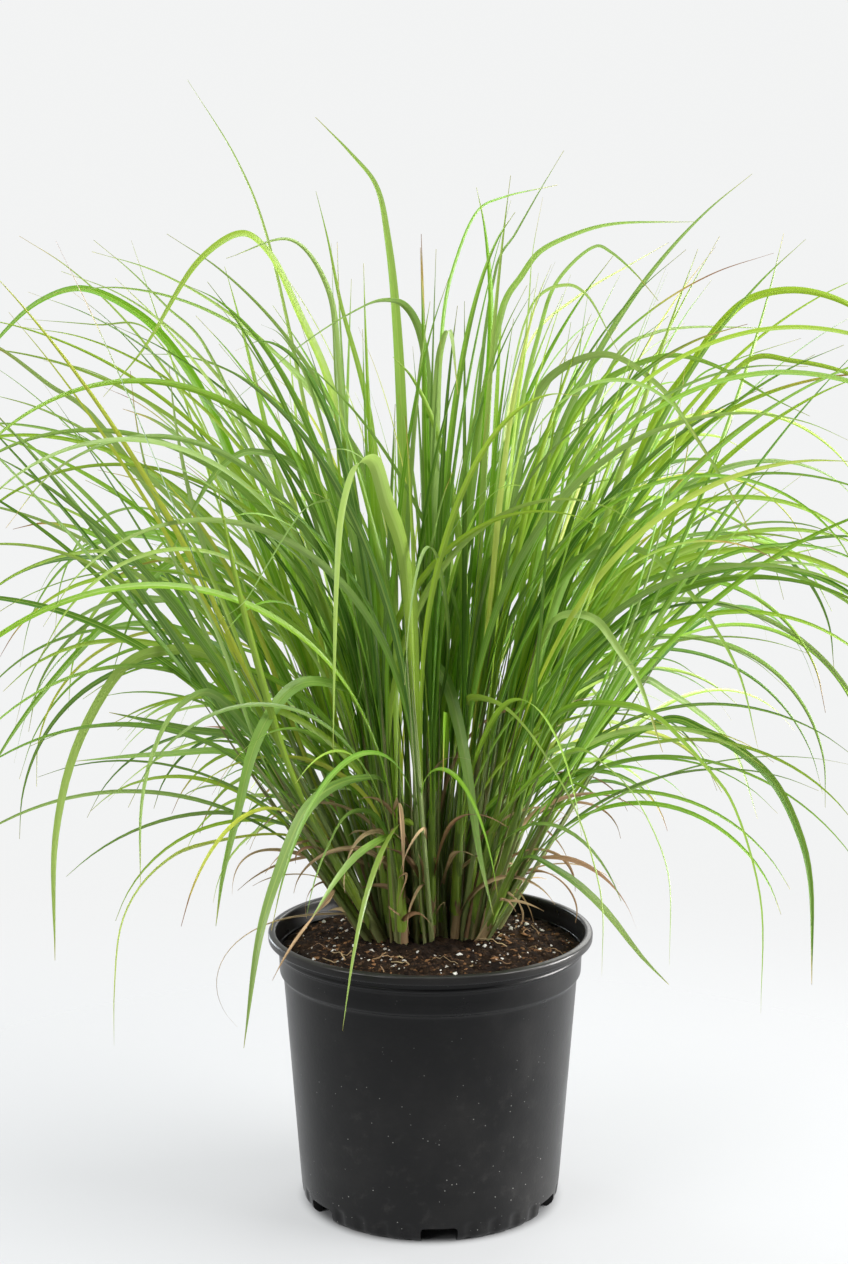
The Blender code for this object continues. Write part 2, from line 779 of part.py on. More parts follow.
def free_sector(shoot, turn):
    """The sector of the stem's top nearest to a turn that no leaf grows from yet."""
    taken = {leaf["sector"] for leaf in shoot["leaves"]}
    wanted = (turn - shoot["turn"]) / (2 * math.pi / STEM_SIDES)
    spare = [sector for sector in range(STEM_SIDES) if sector not in taken]
    half = STEM_SIDES / 2
    return min(spare, key=lambda sector: abs((sector - wanted + half) % STEM_SIDES - half))


def add_leaf(shoot, chance, others):
    """One more leaf on a shoot: its next marked one, or a free one where a place stands clear."""
    marked = shoot["waiting"].pop(0) if shoot["waiting"] else None
    own = tree_of([past_root(leaf) for leaf in shoot["leaves"]])
    leaf = {"roll": leaf_roll(chance), "count": STATIONS["marked" if marked else "free"]}
    leaf["width"] = (marked[1] if marked else chance.uniform(7, 12)) * MM
    swing = math.radians(chance.uniform(-SWING, SWING) * (1 if shoot["lean"] > INNER_LEAN else 1.6))
    length = chance.uniform(*LEAF_LENGTH)
    bend = end_angle(shoot["lean"], chance) - shoot["lean"]
    power = chance.uniform(1.3, 2.4)
    for attempt in range(TRIES):
        nudge = math.radians(LEAF_NUDGE) * ((attempt + 1) // 2) * (-1) ** attempt
        if marked:
            turn = math.radians(marked[0]) + nudge / 2
            points = [carried(mark, shoot["root"], turn) for mark in marked[2]]
            chain = smooth_route([shoot["root"], shoot["top"]] + points)
            if not in_reach(chain):
                continue
        else:
            turn = shoot["turn"] + swing + nudge
            chain = smooth_route(free_route(shoot["root"], shoot["top"], turn, length, bend, power))
            if not keeps_off(chain):
                bend *= 0.97
                length *= 0.985
                continue
        sector = free_sector(shoot, turn)
        stem_side = shoot["turn"] + sector * 2 * math.pi / STEM_SIDES
        leaf.update(turn=turn, chain=chain, sector=sector, stem_side=stem_side)
        grown = blade_mesh(leaf, leaf["count"], CLEARANCE)
        if not meets(others, grown) and not meets(own, past_root(leaf)):
            shoot["leaves"].append(leaf)
            shoot["solids"].append(blade_mesh(leaf, leaf["count"]))
            return True
    return False


def grow_clump():
    """All shoots that find room, with their leaves, none of which cuts through another shoot."""
    chance = random.Random(SEED)
    plan = plan_shoots()
    roots = crown_spots([wanted_root(turn, lean) for _, turn, lean, _ in plan])
    shoots = []
    for (name, turn, lean, leaves), root in zip(plan, roots):
        shoot = grow_leader(name, turn, lean, leaves, root, chance, tree_of(solids_of(shoots)))
        if shoot:
            shoots.append(shoot)
    for _ in range(LEAVES_A_SHOOT - 1):
        for shoot in shoots:
            others = tree_of(solids_of([other for other in shoots if other is not shoot]))
            add_leaf(shoot, chance, others)
    return shoots


def make_shoot(shoot, parts):
    """One shoot as one closed body, from its level foot on the soil to the tips of its leaves."""
    corners, faces = shoot_mesh(shoot)
    mesh = bpy.data.meshes.new("shoot_" + shoot["name"])
    mesh.from_pydata(corners, [], faces)
    form = bmesh.new()
    form.from_mesh(mesh)
    bmesh.ops.triangulate(form, faces=form.faces)
    form.to_mesh(mesh)
    form.free()
    return new_object(mesh.name, mesh, parts)


def give_finish(piece, kind):
    piece.data.materials.clear()
    piece.data.materials.append(finish_material(piece.name, *FINISHES[kind]))
    piece.data.shade_smooth()
    piece.data.set_sharp_from_angle(angle=math.radians(35))


def main():
    clear_scene()
    parts = new_collection("potted_grass_clump")
    cutters = new_collection("cutters")
    give_finish(make_pot(parts, cutters), "pot")
    give_finish(make_soil(parts), "soil")
    for shoot in grow_clump():
        give_finish(make_shoot(shoot, parts), "leaf")


main()
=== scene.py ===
"""Looks of the potted grass clump: its fine leaves and stems, pot and soil, the light and the camera.

The clump grows by the same rules and from the same seed as its solids, so each fine shoot lies where
its solid does. Metres, +Z up, front towards -Y.
"""

import math
import random

import bpy
from mathutils import Matrix, Vector, noise
from mathutils.bvhtree import BVHTree


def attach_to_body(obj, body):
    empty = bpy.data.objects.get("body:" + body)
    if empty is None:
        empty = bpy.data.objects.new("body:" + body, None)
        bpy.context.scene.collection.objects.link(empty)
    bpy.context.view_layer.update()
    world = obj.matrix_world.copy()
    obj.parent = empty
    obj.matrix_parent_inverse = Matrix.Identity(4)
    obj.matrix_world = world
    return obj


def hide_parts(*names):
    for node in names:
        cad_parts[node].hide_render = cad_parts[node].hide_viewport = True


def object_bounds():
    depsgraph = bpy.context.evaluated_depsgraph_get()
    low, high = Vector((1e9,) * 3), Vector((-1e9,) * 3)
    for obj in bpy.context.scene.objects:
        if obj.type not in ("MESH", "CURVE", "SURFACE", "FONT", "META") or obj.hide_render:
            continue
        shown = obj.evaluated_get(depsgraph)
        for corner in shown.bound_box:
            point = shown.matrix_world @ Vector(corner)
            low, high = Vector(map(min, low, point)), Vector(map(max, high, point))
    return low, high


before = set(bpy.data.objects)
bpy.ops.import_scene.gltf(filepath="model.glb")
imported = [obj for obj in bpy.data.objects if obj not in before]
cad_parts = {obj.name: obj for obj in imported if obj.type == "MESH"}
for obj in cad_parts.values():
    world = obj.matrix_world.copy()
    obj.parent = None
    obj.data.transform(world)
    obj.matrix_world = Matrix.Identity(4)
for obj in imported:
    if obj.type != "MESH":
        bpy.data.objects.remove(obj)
cad_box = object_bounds()

MM = 0.001
GAP = 0.3 * MM
SEED = 11
FULL_TURN = 2 * math.pi

# Pot
RIM_RADIUS = 140 * MM
RIM_TOP = 240 * MM
LIP_HEIGHT = 8 * MM
LIP_WIDTH = 6.5 * MM
BAND_RADIUS = 130.5 * MM
BAND_BOTTOM = 202 * MM
WALL_TOP_RADIUS = 126.5 * MM
WALL_FOOT_RADIUS = 112.8 * MM
FLOOR_UNDERSIDE = 15 * MM
FOOT_RADIUS = 107.5 * MM
WALL = 2 * MM
NOTCHES = 6
NOTCH_WIDTH = 30 * MM
NOTCH_HEIGHT = 13.5 * MM
FRONT_NOTCH_TURN = 3.7

# Soil
SOIL_CROWN = 230 * MM
SOIL_EDGE = 222 * MM
CROWN_FLAT = 84 * MM

# Crown and shoots
CROWN_MIDDLE = Vector((0, 26 * MM, SOIL_CROWN + GAP))
CROWN_HALF = (62 * MM, 44 * MM)
SHOOT_SPACING = 11.5 * MM
SPACING_ROUNDS = 120
STEM_SIDES = 6
STEM_LENGTH = (90 * MM, 135 * MM)
STEM_FOOT_RADIUS = 4.2 * MM
STEM_TOP_RADIUS = 3 * MM
ROOT_WIDTH = 2.4 * MM
ROOT_OFFSET = 1.7 * MM
TIP_WIDTH = 1 * MM
FULL_AT = 0.32
TAPER = 2.6
RIB_SHARE = 0.16
RIB_LEAST = 0.8 * MM
CLEARANCE = 0.8 * MM
STEM_SHARE = 0.7
STEM_LEAN_SHARE = 0.85
MARKED_STATIONS = 8
FREE_STATIONS = 6
TRIES = 200
ROUTE_STEPS = 10
BEND_STEPS = 12
SWING_PACE = 2.5
LENGTH_WEIGHT = 0.55
BEND_WEIGHT = 0.45
POT_KEEP_OFF = 150 * MM
POT_KEEP_ABOVE = 20 * MM
RIM_CLEAR = 7 * MM
LEAVES_A_SHOOT = 3
BACK_SHOOTS = 13
# The least turn and lean of the back shoots in degrees, each with how far they spread
BACK_TURNS = (22, 136)
BACK_LEANS = (6, 36)
GOLDEN_SHARE = 0.618034
GOLDEN_REST = 0.381966
FAR_LEAN = 52
LEADER_LENGTH = (420 * MM, 640 * MM)
LEADER_WIDTH = 10
LEADER_POWER = 2.2
# What bend and length shrink to at each try that doesn't fit
LEADER_EASING = (0.96, 0.98)
LEADER_NUDGE = 0.9
LEADER_SWINGS = 14
ROOT_SHIFT = 13 * MM
GOLDEN_TURN = 2.39996
LEAF_LENGTH = (330 * MM, 640 * MM)
LEAF_WIDTH = (7, 12)
LEAF_POWER = (1.3, 2.4)
LEAF_ROLL = (25, 75)
ROLL_PACE = 1.6
LEAF_NUDGE = 1.7
LEAF_EASING = (0.97, 0.985)
SWING = 42
INNER_SWING = 1.6
INNER_LEAN = 0.2
INNER_ENDS = (30, 105)
OUTER_ENDS = (92, 160)
SPREAD = (446 * MM, 356 * MM)
WIDEST = (452 * MM, 380 * MM)
HIGHEST = 915 * MM
LOWEST = 110 * MM

# The faces of a blade's stretch between two of its three-cornered rings
BLADE_FACES = ((0, 1, 4), (0, 4, 3), (1, 2, 4), (2, 5, 4), (2, 0, 5), (0, 3, 5))

# The knots that each round of blending spans, for a smooth curve through four points
CURVE_ROUNDS = (((0, 1), (1, 2), (2, 3)), ((0, 2), (1, 3)), ((1, 2),))

# Where the front view is seen from, and the upright plane its marks are read on
EYE = Vector((-5.5 * MM, -1950 * MM, 819 * MM))
FACING_PLANE = 20 * MM

# The shoots whose leaves stand out in the front view. Each leaf is its turn in degrees from +X,
# its width in mm, and its marks from root to tip: side and height in mm on the facing plane.
FRONT_SHOOTS = {
    "front_inner_drop": [(228, 10, [(18, 440), (8, 505), (-7, 541), (-21, 548), (-35, 539), (-44, 516),
        (-51, 480), (-70, 405)])],
    "front_middle_fall": [(300, 13, [(-8, 440), (-5, 464), (1, 467), (13, 453), (23, 419), (31, 379),
        (43, 298), (55, 245)])],
    "left_crest": [(195, 13, [(-80, 690), (-110, 765), (-135, 815), (-155, 830), (-190, 810), (-240, 735),
        (-275, 695)])],
    "left_spire": [
        (165, 6, [(-135, 825), (-160, 890), (-200, 955)]),
        (190, 5, [(-190, 740), (-220, 770), (-250, 800), (-280, 825)]),
    ],
    "middle_spire": [(160, 12, [(-25, 710), (-35, 825), (-45, 870), (-65, 895), (-95, 925)])],
    "middle_left_spire": [
        (150, 8, [(-50, 675), (-75, 775), (-85, 825), (-95, 865)]),
        (215, 10, [(-75, 690), (-85, 785), (-115, 825), (-170, 810)]),
    ],
    "left_high_arch": [(175, 11, [(-180, 675), (-215, 735), (-245, 765), (-290, 785), (-325, 775),
        (-360, 745), (-410, 680)])],
    "left_reach": [
        (160, 6, [(-235, 750), (-280, 755), (-340, 760)]),
        (200, 8, [(-285, 680), (-320, 705), (-360, 735), (-400, 752), (-448, 745)]),
    ],
    "crossing_arch": [(225, 9, [(-5, 735), (-20, 770), (-40, 775), (-65, 765), (-105, 740), (-155, 700),
        (-185, 675)])],
    "right_spire": [(8, 12, [(50, 735), (50, 785), (45, 835), (38, 868)])],
    "right_thin_spires": [
        (30, 7, [(10, 755), (20, 805), (40, 850), (60, 860), (105, 870)]),
        (12, 9, [(60, 770), (75, 795), (90, 815), (120, 830), (150, 838), (220, 840)]),
    ],
    "right_needles": [
        (35, 5, [(55, 805), (70, 830), (90, 865), (110, 898)]),
        (-30, 6, [(80, 750), (85, 815), (93, 860)]),
    ],
    "right_crest": [(-30, 9, [(75, 680), (90, 745), (105, 790), (138, 820), (150, 815), (170, 798),
        (190, 775)])],
    "right_rod": [
        (35, 6, [(80, 735), (125, 780), (163, 803), (198, 823)]),
        (-40, 8, [(84, 770), (113, 788), (130, 780), (157, 733)]),
    ],
    "middle_hook": [(-75, 11, [(6, 710), (10, 740), (17, 748), (23, 697)])],
    "right_high_rods": [
        (20, 6, [(167, 677), (184, 710), (211, 760), (234, 792)]),
        (10, 6, [(219, 706), (254, 725), (310, 744)]),
    ],
    "right_high_arch": [(5, 11, [(190, 677), (216, 717), (240, 753), (265, 776), (303, 784), (347, 773),
        (394, 738), (427, 686)])],
    "right_long_arch": [(-20, 10, [(85, 688), (107, 717), (148, 730), (191, 704), (212, 677), (263, 597),
        (274, 569)])],
    "right_low_crest": [
        (-10, 9, [(119, 679), (142, 706), (190, 728), (211, 729), (243, 719), (289, 693), (319, 679)]),
        (-5, 8, [(265, 725), (304, 725), (349, 715), (395, 690), (430, 650)]),
    ],
    "right_level": [(25, 6, [(157, 731), (186, 748), (215, 753), (292, 752)])],
    "front_left_curl": [(205, 11, [(-105, 628), (-150, 649), (-168, 643), (-185, 626), (-198, 605),
        (-225, 555)])],
    "front_left_whip": [(235, 8, [(-74, 605), (-89, 607), (-105, 601), (-121, 580), (-145, 541),
        (-159, 520), (-189, 500)])],
    "front_broad_drop": [(260, 15, [(-21, 555), (-37, 608), (-46, 638), (-55, 642), (-64, 633), (-74, 596),
        (-78, 550), (-84, 383)])],
    "front_left_fall": [(225, 13, [(-59, 433), (-98, 452), (-118, 446), (-137, 424), (-153, 390),
        (-168, 330), (-180, 282), (-187, 235)])],
    "front_left_low_fall": [(235, 12, [(-40, 362), (-61, 367), (-91, 355), (-110, 334), (-132, 282),
        (-148, 229), (-164, 124)])],
    "rim_fall": [(238, 11, [(-9, 314), (-22, 329), (-39, 306), (-55, 261), (-65, 215), (-77, 140)])],
    "rim_short_fall": [
        (240, 8, [(-29, 314), (-57, 304), (-78, 282), (-103, 243)]),
        (222, 7, [(-48, 335), (-70, 335), (-88, 306), (-101, 272), (-108, 243)]),
    ],
    "front_right_fall": [(310, 13, [(31, 434), (47, 436), (66, 426), (87, 403), (106, 373), (125, 338),
        (148, 261), (150, 190)])],
    "right_inner_fall": [
        (330, 11, [(105, 504), (125, 510), (142, 504), (160, 480), (177, 454), (200, 390)]),
        (315, 9, [(127, 392), (153, 376), (172, 357), (196, 313), (207, 277), (209, 200)]),
    ],
    "right_middle_fall": [(345, 12, [(121, 553), (143, 562), (166, 566), (184, 562), (206, 543), (229, 517),
        (263, 460), (282, 393)])],
    "right_outer_fall": [(325, 12, [(110, 424), (165, 431), (191, 422), (215, 400), (239, 373), (258, 348),
        (286, 261), (290, 156)])],
    "right_low_falls": [
        (10, 9, [(179, 453), (202, 443), (228, 426), (252, 405), (266, 381), (283, 331)]),
        (350, 10, [(203, 419), (238, 407), (268, 390), (297, 362), (321, 313), (330, 274), (334, 182)]),
    ],
    "right_rim_rod": [(320, 8, [(84, 297), (109, 286), (130, 271), (154, 247), (185, 207), (209, 182)])],
    "left_falls": [
        (190, 10, [(-195, 558), (-218, 555), (-237, 541), (-260, 517), (-286, 493), (-345, 426),
            (-395, 350)]),
        (175, 6, [(-220, 535), (-237, 536), (-251, 517), (-263, 487), (-273, 457)]),
    ],
    "left_outer_fall": [(205, 13, [(-187, 474), (-229, 478), (-252, 471), (-270, 454), (-304, 393),
        (-324, 314), (-328, 204)])],
    "left_hook": [(215, 9, [(-188, 442), (-211, 433), (-225, 417), (-240, 383), (-249, 342), (-252, 270)])],
    "left_low_fall": [(210, 10, [(-120, 315), (-206, 305), (-228, 293), (-252, 269), (-268, 237),
        (-276, 178), (-278, 126)])],
    "left_level": [
        (185, 10, [(-161, 400), (-207, 410), (-276, 425)]),
        (170, 8, [(-161, 386), (-231, 388), (-307, 382)]),
    ],
}

# Further leaves of each kind: the angle from upright that the tip ends at, length and width in mm,
# how late the bend comes, and where along the stem the leaf starts
MORE_KINDS = {
    "arching": ((142, 186), (500, 860), (4.5, 8.5), (1.0, 1.9), (0.7, 1.0)),
    "upright": ((15, 95), (340, 640), (4.5, 9), (1.4, 2.6), (0.55, 1.0)),
    "low": ((115, 176), (190, 450), (3.5, 7), (0.8, 1.5), (0.25, 0.85)),
}
MORE_ROUNDS = (("arching", 2), ("upright", 4), ("low", 2))
MORE_SWING = 50
MORE_TRIES = 14
MORE_HIGHEST = 835 * MM
BOX_MARGIN = 4 * MM

# In front of the crown the further leaves are few, so that the leaves marked in the front view show
FRONT_WINDOW = (200 * MM, -55 * MM, 620 * MM)
FRONT_SHARE = 0.12

# Fine leaves: the share of its stated width that each kind shows, and the form of sheath and blade
FULLNESS = {"marked": 0.92, "free": 0.72, "arching": 0.92, "upright": 0.82, "low": 1}
STATION_STEP = 12 * MM
LEAST_STATIONS = 16
LEAF_COLUMNS = 6
THREAD_TIP = 0.45 * MM
FULL_WIDTH_AT = 0.52
NARROW_SHARE = 0.42
FOLD = (62, 14)
FOLD_SHARE = 0.3
TIP_FOLD = 10
SHOWN_ROLL = (8, 52)
ROLL_SPREAD = 0.45
START_TWIST = 1.1
LEAF_TWIST = 0.4
SHEATH_WRAP = 1.9
SHEATH_STEPS = 5
SHEATH_START = (0.1, 0.75)
LAYER_STEP = 0.35 * MM
OPENING = 45 * MM

# Fine stems, and the young rolled leaves that rise close beside them
STEM_COLUMNS = 14
STEM_ROWS = 9
STEM_SUNK = 5 * MM
STEM_FLAT = 0.86
STEM_SLIM = (0.86, 0.8)
STEM_SWELL = 0.35 * MM
SWELL_AT = 0.16
SWELL_REACH = 0.14
SPEARS = 3
SPEAR_AWAY = 5.5 * MM
SPEAR_LEAN = (-0.05, 0.16)
SPEAR_LENGTH = (110 * MM, 330 * MM)
SPEAR_RADIUS = (1.3 * MM, 2.9 * MM)
SPEAR_FLAT = 0.7

# The painted pale sheen on the leaves that face the front, and the few leaves with dry tips
FRONT_PAINTED_SHEEN = (0.6, 1)
DRY_SHARE = 0.14
DRY_FACING = 0.7
DRYNESS = (0.02, 0.16)

# Dead leaves, and the dry sheaths that clasp the foot of most stems
DEAD_TRIES = 24
DEAD_LENGTH = (40 * MM, 220 * MM)
DEAD_WIDTH = (4, 9)
DEAD_START = (0.08, 0.95)
DEAD_SWING = 0.9
DEAD_LEAN = (0.1, 0.6)
DEAD_BEND = (35, 175)
DEAD_POWER = (0.7, 2.2)
DEAD_SWAY = 1.3
DEAD_FOLD = (0.9, 0.35)
DEAD_ROLL = 1.4
DEAD_TWIST = 4.5
DEAD_STATIONS = 22
DEAD_COLUMNS = 3
BARE_FRONT = (118 * MM, RIM_TOP - 10 * MM)
FRONT_HALF = 10 * MM
CLASP_SHARE = 0.62
CLASP_WRAP = (1.3, 2.6)
CLASP_HEIGHT = (0.25, 0.8)
CLASP_RAGGED = (0.72, 1.0)
CLASP_ROWS = 9
CLASP_COLUMNS = 8
CLASP_OUT = 3.4 * LAYER_STEP
CLASP_FLARE = 1.2 * MM
CLASP_NARROWING = 0.45
CLASP_FLAT = 0.88

# Fine pot
FINE_SIDES = 360
FLUTES = 4
FLUTE_DEPTH = 1.3 * MM
FLUTE_TOP = 19 * MM
FLUTE_HALF = 2.6
FLUTE_FADE = 5 * MM
CORNER = 3.5 * MM
CORNER_STEPS = 5
CORNER_REACH = 0.49
OUTLINE_STEP = 9 * MM
SHARP_ANGLE = 38

# Fine soil
SOIL_RINGS = 90
SOIL_SPOKES = 300
SOIL_SUNK = 1.2 * MM
LUMP_TURN = 6.3
LUMP_TILT = 0.6
LUMP_JOG = (0.7, 1.2)
CRUMBS = 5200
BARK_CHIPS = 900
PERLITE = 260
STRAWS = 34
STRAW_STEPS = 7
STRAW_LENGTH = (5, 32)
STRAW_WIDTH = (0.6, 2.2)
STRAW_CURL = 1.6
STRAW_LIFT = 0.9 * MM

# Camera: fitted to the pot's rim, bands and foot in the front view
CAMERA_PITCH = 9.34
FOCAL_PIXELS = 2338
IMAGE_HEIGHT = 1264
SENSOR = 36

# Places of the materials on each shoot
BLADE, STEM, DRY = 0, 1, 2

# Colours, as linear red, green and blue
LEAF_DEEP = (0.026, 0.125, 0.005, 1)
LEAF_MIDDLE = (0.125, 0.33, 0.007, 1)
LEAF_LIGHT = (0.25, 0.41, 0.02, 1)
# Painted highlights, in streaks along the leaves
LEAF_PAINTED_HIGHLIGHT = (0.33, 0.47, 0.055, 1)
LEAF_OLD = (0.5, 0.52, 0.06, 1)
# Pale bloom, which on the leaves that face the front is a painted sheen
LEAF_BLOOM_AND_SHEEN = (0.32, 0.45, 0.15, 1)
LEAF_FOOT = (0.24, 0.31, 0.06, 1)
LEAF_VEIN = (0.36, 0.5, 0.13, 1)
LEAF_RIB = (0.42, 0.54, 0.17, 1)
LEAF_YELLOW = (0.42, 0.33, 0.07, 1)
LEAF_BROWN = (0.2, 0.09, 0.035, 1)
LEAF_GLOW = (1.0, 0.98, 0.45, 1)
STEM_FOOT = (0.17, 0.17, 0.06, 1)
STEM_GREEN = (0.13, 0.22, 0.03, 1)
STEM_PALE = (0.33, 0.38, 0.17, 1)
STEM_RUST = (0.16, 0.075, 0.035, 1)
DRY_TAN = (0.56, 0.43, 0.23, 1)
DRY_BROWN = (0.25, 0.14, 0.065, 1)
DRY_PINK = (0.42, 0.24, 0.14, 1)
DRY_DARK = (0.14, 0.07, 0.032, 1)
PLASTIC = (0.0025, 0.0026, 0.003, 1)
# Dust, and also the colour of the painted reflection low on the wall and the painted highlight at the lip
PLASTIC_DUST_AND_SHEEN = (0.2, 0.19, 0.18, 1)
SPECK = (0.5, 0.5, 0.48, 1)
SOIL_DARK = (0.008, 0.005, 0.004, 1)
SOIL_BROWN = (0.075, 0.044, 0.025, 1)
BARK_DARK = (0.02, 0.009, 0.005, 1)
BARK_RED = (0.27, 0.14, 0.065, 1)
PERLITE_SHADE = (0.4, 0.38, 0.34, 1)
PERLITE_WHITE = (0.8, 0.79, 0.75, 1)
FLOOR = (0.185, 0.19, 0.198, 1)
FLOOR_SHADE = (0.18, 0.185, 0.193, 1)
FLOOR_GLOW = (0.985, 0.995, 1.0, 1)
SURROUND = (0.893, 0.9, 0.9, 1)

# Gloss, roughness, light let through, and the reach of the floor's glow, of its painted contact shadow
# round the pot's foot, and of its fade
LEAF_GLOSS = 0.36
LEAF_ROUGHNESS = (0.29, 0.42)
LEAF_THROUGH = 0.2
LEAF_VEINS = 8
STEM_RIBS = 17
PLASTIC_GLOSS = 0.3
PLASTIC_ROUGHNESS = (0.27, 0.38)
SOIL_GLOSS = 0.12
FLOOR_FADE = (0.22, 1.15)
CONTACT_SHADOW_EDGE = (0.93 * FOOT_RADIUS, 1.1 * FOOT_RADIUS)
FLOOR_GLOW_POWER = 0.48
FLOOR_HALF = 30

# Strength of the surround in front and behind, and how far forward and back the change reaches
SURROUND_POWER = (0.1, 0.85)
SURROUND_REACH = (-0.5, 0.6)

# Name, place, what it points at, size, power and colour of each soft light
LIGHTS = (
    ("key", (2.1, -0.7, 1.7), (0, 0, 0.45), (1.2, 1.3), 78, (1.0, 0.98, 0.95)),
    ("front", (-1.9, -1.5, 1.5), (0, 0, 0.35), (1.7, 1.2), 54, (1.0, 0.99, 0.97)),
    ("top", (-0.2, 0.3, 2.7), (0, 0, 0.3), (2.2, 2.2), 40, (0.97, 0.99, 1.0)),
    ("back", (0.9, 2.2, 1.5), (0, 0, 0.6), (1.4, 1.4), 22, (1.0, 1.0, 0.97)),
    ("low_right", (1.75, 0.2, 0.34), (0, 0, 0.14), (0.8, 0.7), 58, (1.0, 0.98, 0.96)),
    ("low_left", (-1.2, 1.35, 0.4), (0, 0, 0.12), (0.4, 0.8), 12, (0.88, 0.95, 1.0)),
)


# Shares and directions


def smooth(share):
    share = min(1, max(0, share))
    return share * share * (3 - 2 * share)


def mixed(one, two, share):
    return one + (two - one) * share


def wrapped(turn):
    return (turn + math.pi) % FULL_TURN - math.pi


def outward(turn):
    return Vector((math.cos(turn), math.sin(turn), 0))


def sideways(turn):
    return Vector((-math.sin(turn), math.cos(turn), 0))


def leaning(turn, lean):
    """The direction that leans from upright by an angle, towards a turn."""
    return outward(turn) * math.sin(lean) + Vector((0, 0, math.cos(lean)))


def square_to(vector, axis):
    return (vector - axis * vector.dot(axis)).normalized()


def ring_spot(middle, ahead, beside, angle, radius, flat=1):
    """A place on a ring that is flattened from side to side."""
    return middle + (ahead * math.cos(angle) + beside * math.sin(angle) * flat) * radius


def spread(columns):
    """Places across a strip, from -1 at one edge to 1 at the other."""
    return [2 * column / columns - 1 for column in range(columns + 1)]


def inner_wall_radius(height):
    """Radius of the pot's inner wall at a height."""
    knots = [
        (FLOOR_UNDERSIDE, WALL_FOOT_RADIUS - WALL),
        (BAND_BOTTOM - 2 * MM, WALL_TOP_RADIUS - WALL),
        (BAND_BOTTOM + 3 * MM, BAND_RADIUS - WALL - 1 * MM),
        (RIM_TOP, RIM_RADIUS - LIP_WIDTH),
    ]
    for (low, low_radius), (high, high_radius) in zip(knots, knots[1:]):
        if height <= high:
            return low_radius + (high_radius - low_radius) * (height - low) / (high - low)
    return knots[-1][1]


def soil_height(radius, edge):
    """Height of the smooth soil surface: level under the crown, then falling to the wall."""
    share = min(1, max(0, (radius - CROWN_FLAT) / (edge - CROWN_FLAT)))
    return SOIL_CROWN - (SOIL_CROWN - SOIL_EDGE) * share * share * (3 - 2 * share)


# Growth of the clump


def carried(mark, root, turn):
    """A front-view mark, slid along its line of sight into the leaf's own upright plane."""
    sight = Vector((mark[0] * MM, FACING_PLANE, mark[1] * MM)) - EYE
    across = sideways(turn)
    return EYE + sight * (across.dot(root - EYE) / across.dot(sight))


def marked_route(root, turn, marks, stem):
    """Root, top of the stem and the carried marks of a leaf that shows in the front view."""
    points = [carried(mark, root, turn) for mark in marks]
    rise = points[0] - root
    lean = Vector((rise.x * STEM_LEAN_SHARE, rise.y * STEM_LEAN_SHARE, rise.z)).normalized()
    return [root, root + lean * min(stem, STEM_SHARE * rise.length)] + points


def free_route(root, top, turn, length, bend, power):
    """A leaf that leaves the stem's top and bends over by its own weight, towards a turn."""
    stem = top - root
    lean = math.atan2(stem.xy.length, stem.z)
    start = math.atan2(stem.y, stem.x)
    swing = wrapped(turn - start)
    points = [root, top]
    for index in range(BEND_STEPS):
        share = (index + 0.5) / BEND_STEPS
        heading = start + swing * min(1, share * SWING_PACE)
        points.append(points[-1] + leaning(heading, lean + bend * share**power) * length / BEND_STEPS)
    return points


def smooth_route(points, steps=ROUTE_STEPS):
    """A smooth curve through the points, as a close chain of points."""
    ends = [points[0] * 2 - points[1]] + points + [points[-1] * 2 - points[-2]]
    chain = [points[0]]
    for four in zip(ends, ends[1:], ends[2:], ends[3:]):
        knots = [0]
        for one, two in zip(four, four[1:]):
            knots.append(knots[-1] + max((two - one).length, 1e-6) ** 0.5)
        for step in range(1, steps + 1):
            chain.append(curve_point(four, knots, knots[1] + (knots[2] - knots[1]) * step / steps))
    return chain


def curve_point(points, knots, at):
    for spans in CURVE_ROUNDS:
        shares = [(at - knots[low]) / (knots[high] - knots[low]) for low, high in spans]
        points = [one.lerp(two, share) for one, two, share in zip(points, points[1:], shares)]
    return points[0]


def even_stations(chain, count):
    """Places along a chain, closer together where it bends, each with its direction and share."""
    lengths = [0.0]
    turning = [0.0]
    for index in range(1, len(chain)):
        step = chain[index] - chain[index - 1]
        angle = step.angle(chain[index - 1] - chain[index - 2], 0.0) if index > 1 else 0.0
        lengths.append(lengths[-1] + step.length)
        turning.append(turning[-1] + angle)
    total = lengths[-1]
    turned = max(turning[-1], 1e-6)
    pace = [LENGTH_WEIGHT * a / total + BEND_WEIGHT * b / turned for a, b in zip(lengths, turning)]
    stations = []
    index = 1
    for station in range(count + 1):
        wanted = pace[-1] * station / count
        while index < len(chain) - 1 and pace[index] < wanted:
            index += 1
        share = (wanted - pace[index - 1]) / max(pace[index] - pace[index - 1], 1e-9)
        spot = chain[index - 1].lerp(chain[index], min(max(share, 0), 1))
        along = (lengths[index - 1] + (lengths[index] - lengths[index - 1]) * share) / total
        direction = (chain[min(index + 1, len(chain) - 1)] - chain[max(index - 2, 0)]).normalized()
        stations.append((spot, direction, along))
    return stations


def rolled_stations(chain, count, across, roll_at):
    """Stations of a strip that rolls as it goes, each with the strip's side and upper directions."""
    for spot, direction, along in even_stations(chain, count):
        across = square_to(across, direction)
        side = Matrix.Rotation(roll_at(along), 3, direction) @ across
        yield spot, direction, along, side, direction.cross(side)


def blade_width(width, along):
    """Width of a blade: narrow in the sheath, full by a third of its length, then a long taper."""
    rise = min(1, along / FULL_AT)
    swell = ROOT_WIDTH + (width - ROOT_WIDTH) * rise * rise * (3 - 2 * rise)
    return max(TIP_WIDTH, swell * (1 - along**TAPER))


